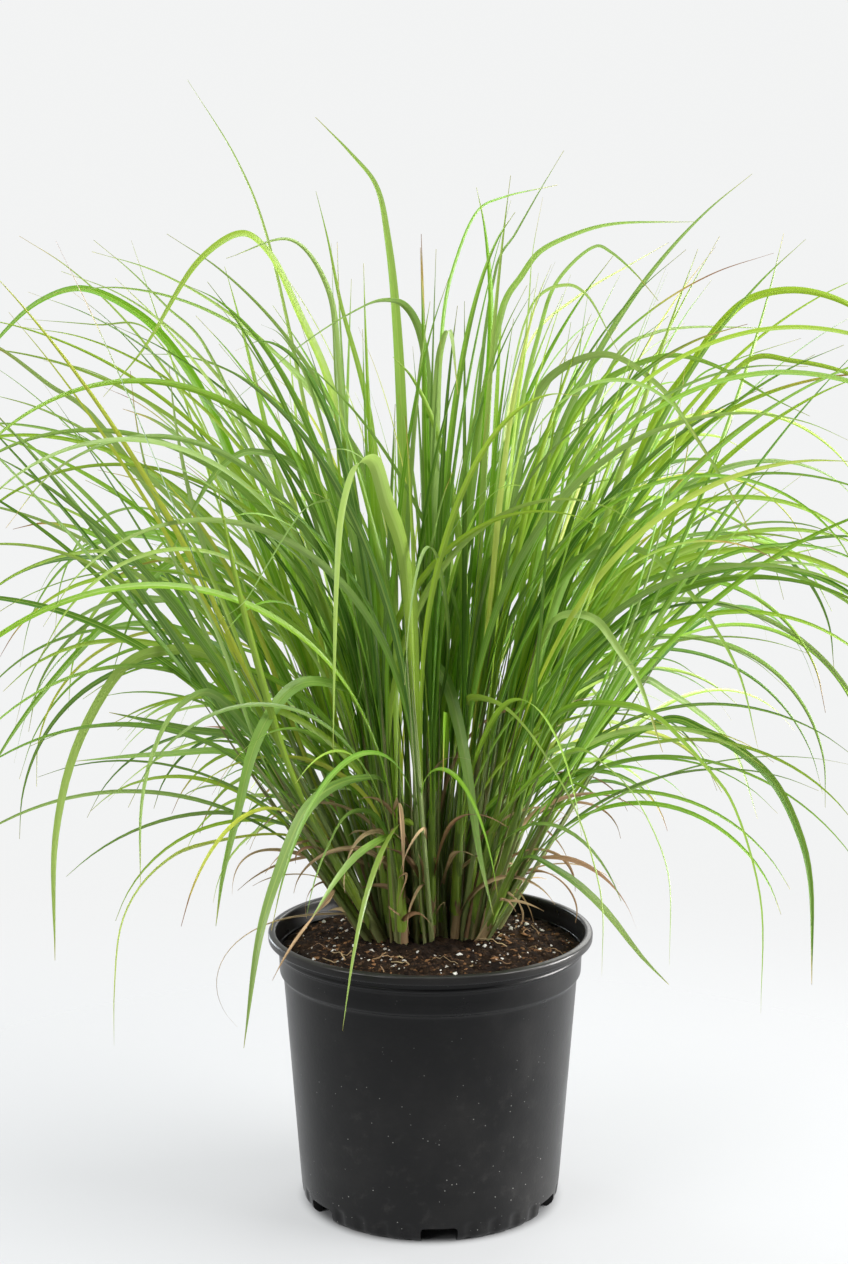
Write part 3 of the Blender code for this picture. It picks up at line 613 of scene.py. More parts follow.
def blade_mesh(leaf, grow=0.0, first=0):
    """A three-sided blade from its sector of the stem's top to its tip, grown by a clearance.

    Its first stretch can be left out, because it runs close to the shoot's other blades.
    """
    start = wrapped(leaf["stem_side"] - leaf["turn"])
    count = MARKED_STATIONS if leaf["kind"] == "marked" else FREE_STATIONS
    corners = []

    def roll_at(along):
        return leaf["roll"] * min(1, along * ROLL_PACE) + start * (1 - along)

    chain = leaf["chain"][ROUTE_STEPS:]
    for spot, _, along, side, upper in rolled_stations(chain, count, sideways(leaf["turn"]), roll_at):
        spot = spot + outward(leaf["stem_side"]) * ROOT_OFFSET * (1 - along)
        half = blade_width(leaf["width"], along) / 2
        rib = max(RIB_LEAST, RIB_SHARE * 2 * half)
        corners.append(spot - side * (half + grow) - upper * grow)
        corners.append(spot + side * (half + grow) - upper * grow)
        corners.append(spot + upper * (rib + grow))
    last = 3 * (count - first)
    faces = [(2, 1, 0)]
    for low in range(0, last, 3):
        faces += [tuple(low + corner for corner in face) for face in BLADE_FACES]
    return corners[3 * first :], faces + [(last, last + 1, last + 2)]


def stem_mesh(root, top, turn, grow=0.0):
    """A stem from the level ring where it meets the soil to the square-cut ring at its top."""
    axis = (top - root).normalized()
    level = outward(turn)
    ahead = square_to(level, axis)
    rings = (
        (root, level, Vector((0, 0, 1)).cross(level), STEM_FOOT_RADIUS + grow),
        (top + axis * grow, ahead, axis.cross(ahead), STEM_TOP_RADIUS + grow),
    )
    turns = [FULL_TURN * (side - 0.5) / STEM_SIDES for side in range(STEM_SIDES)]
    corners = [ring_spot(*ring[:3], angle, ring[3]) for ring in rings for angle in turns]
    faces = [tuple(range(STEM_SIDES - 1, -1, -1))]
    for side in range(STEM_SIDES):
        after = (side + 1) % STEM_SIDES
        faces.append((side, after, after + STEM_SIDES, side + STEM_SIDES))
    return corners, faces + [tuple(range(STEM_SIDES, 2 * STEM_SIDES))]


def tree_of(solids):
    """A search tree over some corner and face lists."""
    corners = []
    faces = []
    for some_corners, some_faces in solids:
        first = len(corners)
        corners += some_corners
        faces += [tuple(corner + first for corner in face) for face in some_faces]
    return BVHTree.FromPolygons(corners, faces) if corners else None


def others_of(shoots, shoot=None):
    """A search tree over every shoot's solids but one's."""
    return tree_of([solid for other in shoots if other is not shoot for solid in other["solids"]])


def meets(tree, solid):
    return tree is not None and bool(tree.overlap(BVHTree.FromPolygons(*solid)))


def attach(shoot, leaf):
    shoot["leaves"].append(leaf)
    shoot["solids"].append(blade_mesh(leaf))


def crown_spots(wanted):
    """Roots in the crown, pushed apart until each has room, and kept inside its outline."""
    spots = [Vector(spot) for spot in wanted]
    for _ in range(SPACING_ROUNDS):
        for one in range(len(spots)):
            for two in range(one + 1, len(spots)):
                apart = spots[two] - spots[one]
                if apart.length < SHOOT_SPACING:
                    push = apart.normalized() * (SHOOT_SPACING - apart.length) / 2
                    spots[one] = spots[one] - push
                    spots[two] = spots[two] + push
        for index, spot in enumerate(spots):
            reach = math.hypot(spot.x / CROWN_HALF[0], spot.y / CROWN_HALF[1])
            if reach > 1:
                spots[index] = spot / reach
    return [CROWN_MIDDLE + Vector((spot.x, spot.y, 0)) for spot in spots]


def wanted_root(turn, lean):
    """A leaf that leans far out grows near the edge of the crown, on its own side."""
    reach = min(1, math.sqrt(max(lean, 0) / math.radians(FAR_LEAN)))
    return Vector((math.cos(turn) * CROWN_HALF[0] * reach, math.sin(turn) * CROWN_HALF[1] * reach))


def front_lean(turn, marks):
    side = marks[0][0] * MM / max(0.35, abs(math.cos(turn)))
    return math.atan2(abs(side), marks[0][1] * MM - SOIL_CROWN)


def plan_shoots():
    """Each shoot's name, leading turn and lean, and its marked leaves."""
    plan = []
    for name, leaves in FRONT_SHOOTS.items():
        turn = math.radians(leaves[0][0])
        plan.append((name, turn, front_lean(turn, leaves[0][2]), leaves))
    for index in range(BACK_SHOOTS):
        turn = math.radians(BACK_TURNS[0] + BACK_TURNS[1] * ((index * GOLDEN_SHARE) % 1))
        lean = math.radians(BACK_LEANS[0] + BACK_LEANS[1] * ((index * GOLDEN_REST + 0.3) % 1))
        plan.append((f"back_{index + 1}", turn, lean, []))
    return plan


def in_reach(chain):
    """Whether a marked leaf stays inside the clump's spread, and clear of the soil and the pot."""
    for spot in chain[ROUTE_STEPS:]:
        if abs(spot.x) > WIDEST[0] or abs(spot.y) > WIDEST[1]:
            return False
        if spot.z < RIM_TOP + RIM_CLEAR and spot.xy.length < RIM_RADIUS + RIM_CLEAR:
            return False
    return True


def keeps_off(chain):
    """Whether a free leaf stays off the pot, inside the clump's outline and above its lowest tip."""
    for spot in chain[ROUTE_STEPS + 2 :]:
        if spot.z < LOWEST or spot.z > HIGHEST:
            return False
        if math.hypot(spot.x / SPREAD[0], spot.y / SPREAD[1]) > 1:
            return False
        if spot.xy.length < POT_KEEP_OFF and spot.z < RIM_TOP + POT_KEEP_ABOVE:
            return False
    return True


def end_angle(lean, chance):
    """How far from upright a free leaf's tip points: outer leaves droop, inner ones stand."""
    return math.radians(chance.uniform(*(INNER_ENDS if lean < INNER_LEAN else OUTER_ENDS)))


def leaf_roll(chance):
    return math.radians(chance.uniform(*LEAF_ROLL)) * chance.choice((-1, 1))


def grow_leader(name, turn, lean, leaves, wanted, chance, others):
    """A shoot's stem and first leaf, moved little by little until they stand clear of the others."""
    stem = chance.uniform(*STEM_LENGTH)
    leaf = {"roll": leaf_roll(chance), "sector": 0, "kind": "marked"}
    leaf["width"] = (leaves[0][1] if leaves else LEADER_WIDTH) * MM
    length = chance.uniform(*LEADER_LENGTH)
    bend = end_angle(lean, chance) - lean
    for attempt in range(TRIES):
        now = turn + math.radians(LEADER_NUDGE) * ((attempt + 1) // 2 % LEADER_SWINGS) * (-1) ** attempt
        root = wanted + outward(attempt * GOLDEN_TURN) * ROOT_SHIFT * (attempt / TRIES)
        if leaves:
            route = marked_route(root, now, leaves[0][2], stem)
        else:
            top = root + leaning(now, lean) * stem
            route = free_route(root, top, now, length, bend, LEADER_POWER)
        leaf.update(turn=now, stem_side=now, chain=smooth_route(route))
        if leaves and not in_reach(leaf["chain"]):
            continue
        if not leaves and not keeps_off(leaf["chain"]):
            bend *= LEADER_EASING[0]
            length *= LEADER_EASING[1]
            continue
        grown = [stem_mesh(root, route[1], now, CLEARANCE), blade_mesh(leaf, CLEARANCE)]
        if not any(meets(others, solid) for solid in grown):
            shoot = {"name": name, "root": root, "top": route[1], "turn": now, "lean": lean}
            shoot.update(solids=[stem_mesh(root, route[1], now)], leaves=[], waiting=list(leaves[1:]))
            attach(shoot, leaf)
            return shoot
    return None


def free_sector(shoot, turn):
    """The sector of the stem's top nearest to a turn that no leaf grows from yet."""
    taken = {leaf["sector"] for leaf in shoot["leaves"]}
    wanted = (turn - shoot["turn"]) / (FULL_TURN / STEM_SIDES)
    spare = [sector for sector in range(STEM_SIDES) if sector not in taken]
    half = STEM_SIDES / 2
    return min(spare, key=lambda sector: abs((sector - wanted + half) % STEM_SIDES - half))


def add_leaf(shoot, chance, others):
    """One more leaf on a shoot: its next marked one, or a free one where a place stands clear."""
    marked = shoot["waiting"].pop(0) if shoot["waiting"] else None
    own = tree_of([blade_mesh(leaf, first=1) for leaf in shoot["leaves"]])
    leaf = {"roll": leaf_roll(chance), "kind": "marked" if marked else "free"}
    leaf["width"] = (marked[1] if marked else chance.uniform(*LEAF_WIDTH)) * MM
    widening = 1 if shoot["lean"] > INNER_LEAN else INNER_SWING
    swing = math.radians(chance.uniform(-SWING, SWING) * widening)
    length = chance.uniform(*LEAF_LENGTH)
    bend = end_angle(shoot["lean"], chance) - shoot["lean"]
    power = chance.uniform(*LEAF_POWER)
    for attempt in range(TRIES):
        nudge = math.radians(LEAF_NUDGE) * ((attempt + 1) // 2) * (-1) ** attempt
        if marked:
            turn = math.radians(marked[0]) + nudge / 2
            points = [carried(mark, shoot["root"], turn) for mark in marked[2]]
            chain = smooth_route([shoot["root"], shoot["top"]] + points)
            if not in_reach(chain):
                continue
        else:
            turn = shoot["turn"] + swing + nudge
            chain = smooth_route(free_route(shoot["root"], shoot["top"], turn, length, bend, power))
            if not keeps_off(chain):
                bend *= LEAF_EASING[0]
                length *= LEAF_EASING[1]
                continue
        sector = free_sector(shoot, turn)
        stem_side = shoot["turn"] + sector * FULL_TURN / STEM_SIDES
        leaf.update(turn=turn, chain=chain, sector=sector, stem_side=stem_side)
        if not meets(others, blade_mesh(leaf, CLEARANCE)) and not meets(own, blade_mesh(leaf, first=1)):
            attach(shoot, leaf)
            return


def grow_clump():
    """All shoots that find room, with their leaves, none of which cuts through another shoot."""
    chance = random.Random(SEED)
    plan = plan_shoots()
    roots = crown_spots([wanted_root(turn, lean) for _, turn, lean, _ in plan])
    shoots = []
    for planned, root in zip(plan, roots):
        shoot = grow_leader(*planned, root, chance, others_of(shoots))
        if shoot:
            shoots.append(shoot)
    for shoot in shoots * (LEAVES_A_SHOOT - 1):
        add_leaf(shoot, chance, others_of(shoots, shoot))
    return shoots


def in_box(chain):
    """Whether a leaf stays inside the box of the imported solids."""
    low, high = cad_box
    for spot in chain:
        for axis in range(3):
            if not low[axis] + BOX_MARGIN < spot[axis] < high[axis] - BOX_MARGIN:
                return False
    return True


def crowds_front(chain):
    """Whether a leaf stands in front of the crown."""
    side, front, height = FRONT_WINDOW
    return any(abs(spot.x) < side and spot.y < front and spot.z < height for spot in chain)


def extra_leaf(shoot, kind, chance):
    """A further leaf of a kind, with the route that it takes from its place on the stem."""
    ends, lengths, widths, power, start = MORE_KINDS[kind]
    foot = shoot["root"].lerp(shoot["top"], chance.uniform(*start))
    turn = shoot["turn"] + math.radians(chance.uniform(-MORE_SWING, MORE_SWING))
    bend = math.radians(chance.uniform(*ends)) - shoot["lean"]
    length = chance.uniform(*lengths) * MM
    points = free_route(shoot["root"], foot, turn, length, bend, chance.uniform(*power))
    leaf = {"roll": leaf_roll(chance), "width": chance.uniform(*widths) * MM, "kind": kind}
    leaf.update(chain=smooth_route(points), turn=turn, stem_side=turn)
    return leaf


def fits(leaf, chance):
    """Whether a further leaf stays in the box, off the pot and not too high or crowded in front."""
    chain = leaf["chain"]
    if not in_box(chain) or not clear_of_pot(chain[ROUTE_STEPS + 6 :]):
        return False
    if max(spot.z for spot in chain) > MORE_HIGHEST:
        return False
    return not crowds_front(chain) or chance.random() <= FRONT_SHARE


def grow_fine_clump():
    """The clump of the solids, with more leaves on every shoot, clear of other shoots where they can be."""
    shoots = grow_clump()
    chance = random.Random(SEED + 1)
    for kind, rounds in MORE_ROUNDS:
        for shoot in shoots * rounds:
            if kind != "upright" and shoot["lean"] < INNER_LEAN * 0.7:
                continue
            others = others_of(shoots, shoot)
            spare = None
            for _ in range(MORE_TRIES):
                leaf = extra_leaf(shoot, kind, chance)
                if fits(leaf, chance):
                    spare = leaf
                    if not meets(others, blade_mesh(leaf)):
                        break
            if spare:
                attach(shoot, spare)
    return shoots


# Pieces


def add_thing(name, data):
    thing = bpy.data.objects.new(name, data)
    bpy.context.scene.collection.objects.link(thing)
    return thing


def add_mesh(name, corners, faces, materials):
    mesh = bpy.data.meshes.new(name)
    mesh.from_pydata(corners, [], faces)
    for material in materials:
        mesh.materials.append(material)
    return add_thing(name, mesh)


class Skin:
    """Corners and faces of one mesh that is put together from strips, with notes for its materials."""

    def __init__(self):
        self.corners = []
        self.faces = []
        self.kinds = []
        self.places = []
        self.notes = []

    def add_form(self, corners, faces, note, kind, places=None):
        """Corners and faces with one note: tone, age or bloom with painted sheen, and dryness."""
        first = len(self.corners)
        self.corners += corners
        self.places += places or [(0.5, 0.5)] * len(corners)
        self.notes += [note] * len(corners)
        self.faces += [tuple(first + corner for corner in face) for face in faces]
        self.kinds += [kind] * len(faces)

    def add_grid(self, rows, note, kind, repeat=1):
        """A strip of rows, each with its place along the strip and its corners from side to side."""
        last = len(rows[0][1]) - 1
        corners = [corner for _, row in rows for corner in row]
        places = [(repeat * column / last, along) for along, _ in rows for column in range(last + 1)]
        faces = []
        for row in range(len(rows) - 1):
            for start in range(row * (last + 1), row * (last + 1) + last):
                faces.append((start, start + 1, start + last + 2, start + last + 1))
        self.add_form(corners, faces, note, kind, places)

    def build(self, name, materials):
        thing = add_mesh(name, self.corners, self.faces, materials)
        mesh = thing.data
        mesh.polygons.foreach_set("material_index", self.kinds)
        mesh.polygons.foreach_set("use_smooth", [True] * len(self.faces))
        layer = mesh.uv_layers.new(name="place")
        flat = [share for loop in mesh.loops for share in self.places[loop.vertex_index]]
        layer.data.foreach_set("uv", flat)
        colours = mesh.color_attributes.new("note", "FLOAT_COLOR", "POINT")
        colours.data.foreach_set("color", [share for note in self.notes for share in (*note, 1)])
        mesh.update()
        return thing


# Shoots


def random_note(chance, dryness=0):
    return (chance.random(), chance.random(), dryness)


def stem_frame(shoot, turn=None):
    """A stem's axis, and the directions ahead and beside that go with a turn."""
    axis = (shoot["top"] - shoot["root"]).normalized()
    ahead = square_to(outward(shoot["turn"] if turn is None else turn), axis)
    return axis, ahead, axis.cross(ahead)


def stem_radius(share):
    """A stem is widest just over its foot and slims towards the leaves."""
    swell = STEM_SWELL * math.exp(-(((share - SWELL_AT) / SWELL_REACH) ** 2))
    return mixed(STEM_FOOT_RADIUS * STEM_SLIM[0], STEM_TOP_RADIUS * STEM_SLIM[1], share) + swell


def tube_rows(foot, tip, ahead, beside, radius_at, flat, pace=1):
    """Rows round a straight stem, with a radius that depends on the share of its height."""
    rows = []
    for step in range(STEM_ROWS + 1):
        share = step / STEM_ROWS
        middle = foot.lerp(tip, share)
        radius = radius_at(share)
        turns = [FULL_TURN * column / STEM_COLUMNS for column in range(STEM_COLUMNS + 1)]
        rows.append((share * pace, [ring_spot(middle, ahead, beside, t, radius, flat) for t in turns]))
    return rows


def add_stem(skin, shoot, chance):
    axis, ahead, beside = stem_frame(shoot)
    foot = shoot["root"] - axis * STEM_SUNK
    rows = tube_rows(foot, shoot["top"], ahead, beside, stem_radius, STEM_FLAT)
    skin.add_grid(rows, random_note(chance), STEM, 2)


def add_spear(skin, shoot, chance):
    """A young leaf, still rolled up, that rises close beside a stem."""
    axis, ahead, beside = stem_frame(shoot)
    foot = shoot["root"] + outward(chance.uniform(0, FULL_TURN)) * SPEAR_AWAY - axis * STEM_SUNK
    lean = outward(shoot["turn"]) * chance.uniform(*SPEAR_LEAN)
    tip = foot + (axis + lean).normalized() * chance.uniform(*SPEAR_LENGTH)
    girth = chance.uniform(*SPEAR_RADIUS)

    def radius_at(share):
        return girth * (1 - share**1.5) + THREAD_TIP / 2

    rows = tube_rows(foot, tip, ahead, beside, radius_at, SPEAR_FLAT, 2)
    skin.add_grid(rows, random_note(chance), STEM, 2)


def add_dead_sheath(skin, shoot, chance):
    """A dry outer sheath that still clasps the foot of a stem, ragged at its top."""
    _, ahead, beside = stem_frame(shoot)
    start = chance.uniform(0, FULL_TURN)
    wrap = chance.uniform(*CLASP_WRAP)
    height = chance.uniform(*CLASP_HEIGHT)
    ragged = [chance.uniform(*CLASP_RAGGED) for _ in range(CLASP_COLUMNS + 1)]
    rows = []
    for step in range(CLASP_ROWS + 1):
        share = height * step / CLASP_ROWS
        row = []
        for column in range(CLASP_COLUMNS + 1):
            rise = share * (ragged[column] if step > 2 else 1)
            middle = shoot["root"].lerp(shoot["top"], rise)
            narrowing = 1 - CLASP_NARROWING * step / CLASP_ROWS
            angle = start + (column / CLASP_COLUMNS - 0.5) * 2 * wrap * narrowing
            radius = stem_radius(rise) + CLASP_OUT + CLASP_FLARE * (step / CLASP_ROWS) ** 4
            row.append(ring_spot(middle, ahead, beside, angle, radius, CLASP_FLAT))
        rows.append((0.3 * step / CLASP_ROWS, row))
    skin.add_grid(rows, random_note(chance, 1), DRY)


def fine_width(width, along):
    """Full width by half of the leaf's length, then a long even taper to a thread."""
    swell = mixed(NARROW_SHARE * width, width, smooth(along / FULL_WIDTH_AT))
    return max(THREAD_TIP, swell * (1 - along**3.2) ** 0.95)


def fold_angle(along):
    """How far each half of a leaf is folded up: most near the stem, little in the middle."""
    return math.radians(mixed(*FOLD, smooth(along / FOLD_SHARE)) + TIP_FOLD * smooth((along - 0.6) / 0.4))


def add_leaf_skin(skin, shoot, leaf, layer, note, twist, chance):
    """A leaf in one strip: the sheath that wraps the stem opens into the folded blade."""
    _, ahead, beside = stem_frame(shoot, leaf["stem_side"])
    span = spread(LEAF_COLUMNS)
    rows = []
    high = (leaf["chain"][ROUTE_STEPS] - shoot["root"]).length / (shoot["top"] - shoot["root"]).length
    low = chance.uniform(*SHEATH_START) * high
    for step in range(SHEATH_STEPS):
        share = mixed(low, high, step / SHEATH_STEPS)
        middle = shoot["root"].lerp(shoot["top"], share)
        radius = stem_radius(share) + layer
        wrap = mixed(0.35, 1, smooth(2 * step / SHEATH_STEPS))
        row = [ring_spot(middle, ahead, beside, w * SHEATH_WRAP * wrap, radius) for w in span]
        rows.append((-0.2 + 0.2 * step / SHEATH_STEPS, row))
    chain = leaf["chain"][ROUTE_STEPS:]
    length = sum((two - one).length for one, two in zip(chain, chain[1:]))
    count = max(LEAST_STATIONS, round(length / STATION_STEP))
    past_least = abs(math.degrees(leaf["roll"])) - LEAF_ROLL[0]
    shown = mixed(*SHOWN_ROLL, abs(math.cos(leaf["turn"]))) + ROLL_SPREAD * past_least
    width = leaf["width"] * FULLNESS[leaf["kind"]]
    full_roll = math.copysign(math.radians(shown), leaf["roll"])
    toward_front = max(0, -math.sin(leaf["turn"])) ** 2

    def roll_at(along):
        roll = full_roll * min(1, 0.1 + along * 2.2) + twist * smooth(along) * along
        return roll + math.copysign(START_TWIST * toward_front * (1 - smooth(along / 0.5)), full_roll)

    stations = rolled_stations(chain, count, sideways(leaf["turn"]), roll_at)
    for spot, direction, along, side, upper in stations:
        spot = spot + outward(leaf["stem_side"]) * ROOT_OFFSET * (1 - along)
        half = fine_width(width, along) / 2
        fold = fold_angle(along)
        open_share = smooth(along * length / OPENING)
        ring_ahead = square_to(ahead, direction)
        ring_beside = direction.cross(ring_ahead)
        radius = stem_radius(high) + layer
        row = []
        for w in span:
            middle = spot - ring_ahead * ROOT_OFFSET
            ring = ring_spot(middle, ring_ahead, ring_beside, w * SHEATH_WRAP, radius)
            lift = abs(w) ** 1.2 * math.sin(fold) * half
            row.append(ring.lerp(spot + side * (w * half * math.cos(fold)) + upper * lift, open_share))
        rows.append((along, row))
    skin.add_grid(rows, note, BLADE)


def clear_of_pot(spots, margin=3 * MM):
    """Whether a strand stays off the soil, the rim and the pot's wall."""
    for spot in spots:
        radius = spot.xy.length
        if radius < RIM_RADIUS - LIP_WIDTH - margin:
            if spot.z < SOIL_CROWN + margin:
                return False
        elif radius < RIM_RADIUS + margin and spot.z < RIM_TOP + margin:
            return False
        if spot.z < LOWEST:
            return False
    return True


def hangs_in_front(chain):
    """Whether a strand hangs over the front of the pot, where the wall shows bare."""
    side, low = BARE_FRONT
    return any(spot.z < low and spot.y < 0 and abs(spot.x) < side for spot in chain)


def dead_route(shoot, chance, reach):
    """A dry leaf that comes off low on its stem, curls over and twists as it falls."""
    points = [shoot["root"].lerp(shoot["top"], chance.uniform(*DEAD_START))]
    turn = shoot["turn"] + chance.uniform(-DEAD_SWING, DEAD_SWING)
    lean = shoot["lean"] + chance.uniform(*DEAD_LEAN)
    bend = math.radians(chance.uniform(*DEAD_BEND))
    power = chance.uniform(*DEAD_POWER)
    sway = chance.uniform(-DEAD_SWAY, DEAD_SWAY)
    for index in range(BEND_STEPS):
        share = (index + 0.5) / BEND_STEPS
        step = leaning(turn + sway * share * share, lean + bend * share**power)
        points.append(points[-1] + step * reach / BEND_STEPS)
    return smooth_route(points, 4)


def add_dead_leaf(skin, shoot, chance):
    for _ in range(DEAD_TRIES):
        reach = mixed(*DEAD_LENGTH, chance.random() ** 1.7)
        chain = dead_route(shoot, chance, reach)
        if clear_of_pot(chain[6:]) and in_box(chain) and not hangs_in_front(chain):
            break
    else:
        return
    width = chance.uniform(*DEAD_WIDTH) * MM
    roll = chance.uniform(-DEAD_ROLL, DEAD_ROLL)
    twist = chance.uniform(-DEAD_TWIST, DEAD_TWIST)
    span = spread(DEAD_COLUMNS)
    across = (chain[1] - chain[0]).cross(Vector((0, 0, 1))).normalized()
    rows = []
    stations = rolled_stations(chain, DEAD_STATIONS, across, lambda along: roll + twist * along)
    for spot, _, along, side, upper in stations:
        half = max(THREAD_TIP, width * (1 - along**1.8) * mixed(0.75, 1, smooth(along * 4))) / 2
        fold = mixed(*DEAD_FOLD, along)
        reach = half * math.cos(fold)
        rise = half * math.sin(fold)
        rows.append((along, [spot + side * (w * reach) + upper * (abs(w) * rise) for w in span]))
    skin.add_grid(rows, random_note(chance, 1), DRY)


def leaf_note(leaf, chance):
    """Tone, bloom with painted sheen, and dryness of a leaf: a little random pale bloom, a strong painted
    pale sheen on the leaves that face the front, brown on a few tips.
    """
    tone = chance.random()
    bloom_and_sheen = chance.random() ** 2.6
    facing = 0
    # Marked leaves that face the front get a painted pale sheen
    if leaf["kind"] == "marked":
        facing = max(0, -math.sin(leaf["turn"]))
        bloom_and_sheen = mixed(bloom_and_sheen, chance.uniform(*FRONT_PAINTED_SHEEN), facing)
    dryness = 0.0
    if chance.random() < DRY_SHARE and facing < DRY_FACING:
        dryness = chance.uniform(*DRYNESS)
    return (tone, bloom_and_sheen, dryness)


def make_shoot(shoot, materials, chance):
    skin = Skin()
    add_stem(skin, shoot, chance)
    for index, leaf in enumerate(shoot["leaves"]):
        note = leaf_note(leaf, chance)
        twist = chance.uniform(-LEAF_TWIST, LEAF_TWIST)
        add_leaf_skin(skin, shoot, leaf, (index % 4 + 1) * LAYER_STEP, note, twist, chance)
    for _ in range(SPEARS):
        add_spear(skin, shoot, chance)
    if chance.random() < CLASP_SHARE:
        add_dead_sheath(skin, shoot, chance)
    for _ in range(chance.choice((1, 1, 2)) + (1 if shoot["root"].y < FRONT_HALF else 0)):
        add_dead_leaf(skin, shoot, chance)
    piece = skin.build("fine_" + shoot["name"], materials)
    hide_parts("shoot_" + shoot["name"])
    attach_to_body(piece, "root")


# Pot


def filleted(points, radii):
    """An outline with its corners rounded to the radii given."""
    spots = [Vector(point) for point in points]
    outline = [spots[0]]
    for before, corner, after, radius in zip(spots, spots[1:], spots[2:], radii):
        to_before = before - corner
        to_after = after - corner
        reach = min(radius, to_before.length * CORNER_REACH, to_after.length * CORNER_REACH)
        start = corner + to_before.normalized() * reach
        end = corner + to_after.normalized() * reach
        for step in range(CORNER_STEPS + 1):
            share = step / CORNER_STEPS
            outline.append(start.lerp(corner, share).lerp(corner.lerp(end, share), share))
    outline.append(spots[-1])
    return outline


def fine_pot_outline():
    """Radius and height, from the middle of the floor inside, over the lip and down to the foot."""
    lip_bottom = RIM_TOP - LIP_HEIGHT
    floor_top = FLOOR_UNDERSIDE + WALL
    # Radius, height, and the radius of the corner's rounding in mm
    knots = [
        (0, floor_top, 0),
        (inner_wall_radius(floor_top), floor_top, 3),
        (inner_wall_radius(BAND_BOTTOM - 2 * MM), BAND_BOTTOM - 2 * MM, 2),
        (inner_wall_radius(BAND_BOTTOM + 3 * MM), BAND_BOTTOM + 3 * MM, 2),
        (RIM_RADIUS - LIP_WIDTH - 0.6 * MM, lip_bottom, 2),
        (RIM_RADIUS - LIP_WIDTH, RIM_TOP, 2.2),
        (RIM_RADIUS, RIM_TOP - 0.6 * MM, 2.4),
        (RIM_RADIUS - 0.3 * MM, lip_bottom, 1.6),
        (BAND_RADIUS + 2.4 * MM, lip_bottom - 0.6 * MM, 1.2),
        (BAND_RADIUS + 2 * MM, RIM_TOP - 13.2 * MM, 0.8),
        (BAND_RADIUS + 2.3 * MM, RIM_TOP - 14.2 * MM, 0.8),
        (BAND_RADIUS + 2.2 * MM, RIM_TOP - 16.2 * MM, 0.9),
        (BAND_RADIUS + 0.2 * MM, RIM_TOP - 17.4 * MM, 0.9),
        (BAND_RADIUS - 0.5 * MM, BAND_BOTTOM + 2.2 * MM, 1.4),
        (WALL_TOP_RADIUS + 0.4 * MM, BAND_BOTTOM - 0.6 * MM, 2),
        (WALL_TOP_RADIUS - 0.2 * MM, BAND_BOTTOM - 8 * MM, 6),
        (WALL_FOOT_RADIUS, FLOOR_UNDERSIDE + 1 * MM, 6),
        (WALL_FOOT_RADIUS - 1.6 * MM, 4.5 * MM, 3),
        (FOOT_RADIUS - 1.5 * MM, 0, 2.5),
        (FOOT_RADIUS - 4.5 * MM, 0, 1.5),
        (FOOT_RADIUS - 6 * MM, FLOOR_UNDERSIDE, 1),
        (0, FLOOR_UNDERSIDE, 0),
    ]
    outline = filleted([knot[:2] for knot in knots], [knot[2] * MM for knot in knots[1:-1]])
    fine = [outline[0]]
    for one, two in zip(outline, outline[1:]):
        pieces = max(1, round((two - one).length / OUTLINE_STEP))
        fine += [one.lerp(two, step / pieces) for step in range(1, pieces + 1)]
    return fine


def notch_lift(turn):
    """How high the foot is cut away at a turn, 0 between the notches; the cut has rounded corners."""
    spacing = 360 / NOTCHES
    place = (math.degrees(turn) + 90 - FRONT_NOTCH_TURN + spacing / 2) % spacing - spacing / 2
    inside = NOTCH_WIDTH / 2 - abs(math.radians(place)) * FOOT_RADIUS
    if inside <= 0:
        return 0
    if inside < CORNER:
        return NOTCH_HEIGHT - CORNER + math.sqrt(CORNER**2 - (CORNER - inside) ** 2)
    return NOTCH_HEIGHT


def flute_depth(turn, height):
    """Shallow upright flutes low on the wall, a few between each two notches."""
    spacing = 360 / NOTCHES
    place = (math.degrees(turn) + 90 - FRONT_NOTCH_TURN) % spacing
    notch_half = math.degrees(NOTCH_WIDTH / 2 / FOOT_RADIUS)
    depth = 0
    for index in range(FLUTES):
        middle = notch_half + (spacing - 2 * notch_half) * (index + 0.5) / FLUTES
        depth += FLUTE_DEPTH * smooth(1.25 - abs(place - middle) / FLUTE_HALF)
    return depth * smooth((FLUTE_TOP - height) / FLUTE_FADE)


def pot_turns():
    """Turns round the pot, with close pairs at the upright sides of each notch."""
    turns = [FULL_TURN * step / FINE_SIDES for step in range(FINE_SIDES)]
    half = NOTCH_WIDTH / 2 / FOOT_RADIUS
    for index in range(NOTCHES):
        middle = math.radians(-90 + FRONT_NOTCH_TURN + index * 360 / NOTCHES)
        for side in (-1, 1):
            for shift in (-0.0004, 0.0004, -0.003, -0.008, -0.014):
                turns.append((middle + side * (half + shift)) % FULL_TURN)
    return sorted(turns)


def make_pot(material):
    outline = fine_pot_outline()
    turns = pot_turns()
    corners = []
    for turn in turns:
        lift = notch_lift(turn)
        for index, (radius, height) in enumerate(outline):
            outer = index > len(outline) / 3
            if outer and height < FLOOR_UNDERSIDE and radius > FOOT_RADIUS - 8 * MM:
                height = max(height, lift)
            if outer and radius > FOOT_RADIUS - 2 * MM:
                radius -= flute_depth(turn, height)
            corners.append((radius * math.cos(turn), radius * math.sin(turn), height))
    faces = []
    for side in range(len(turns)):
        after = (side + 1) % len(turns)
        for index in range(len(outline) - 1):
            low = side * len(outline) + index
            high = after * len(outline) + index
            faces.append((low, low + 1, high + 1, high))
    pot = add_mesh("pot_shell", corners, faces, [material])
    pot.data.shade_smooth()
    pot.data.set_sharp_from_angle(angle=math.radians(SHARP_ANGLE))
    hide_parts("pot")
    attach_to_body(pot, "root")


# Soil


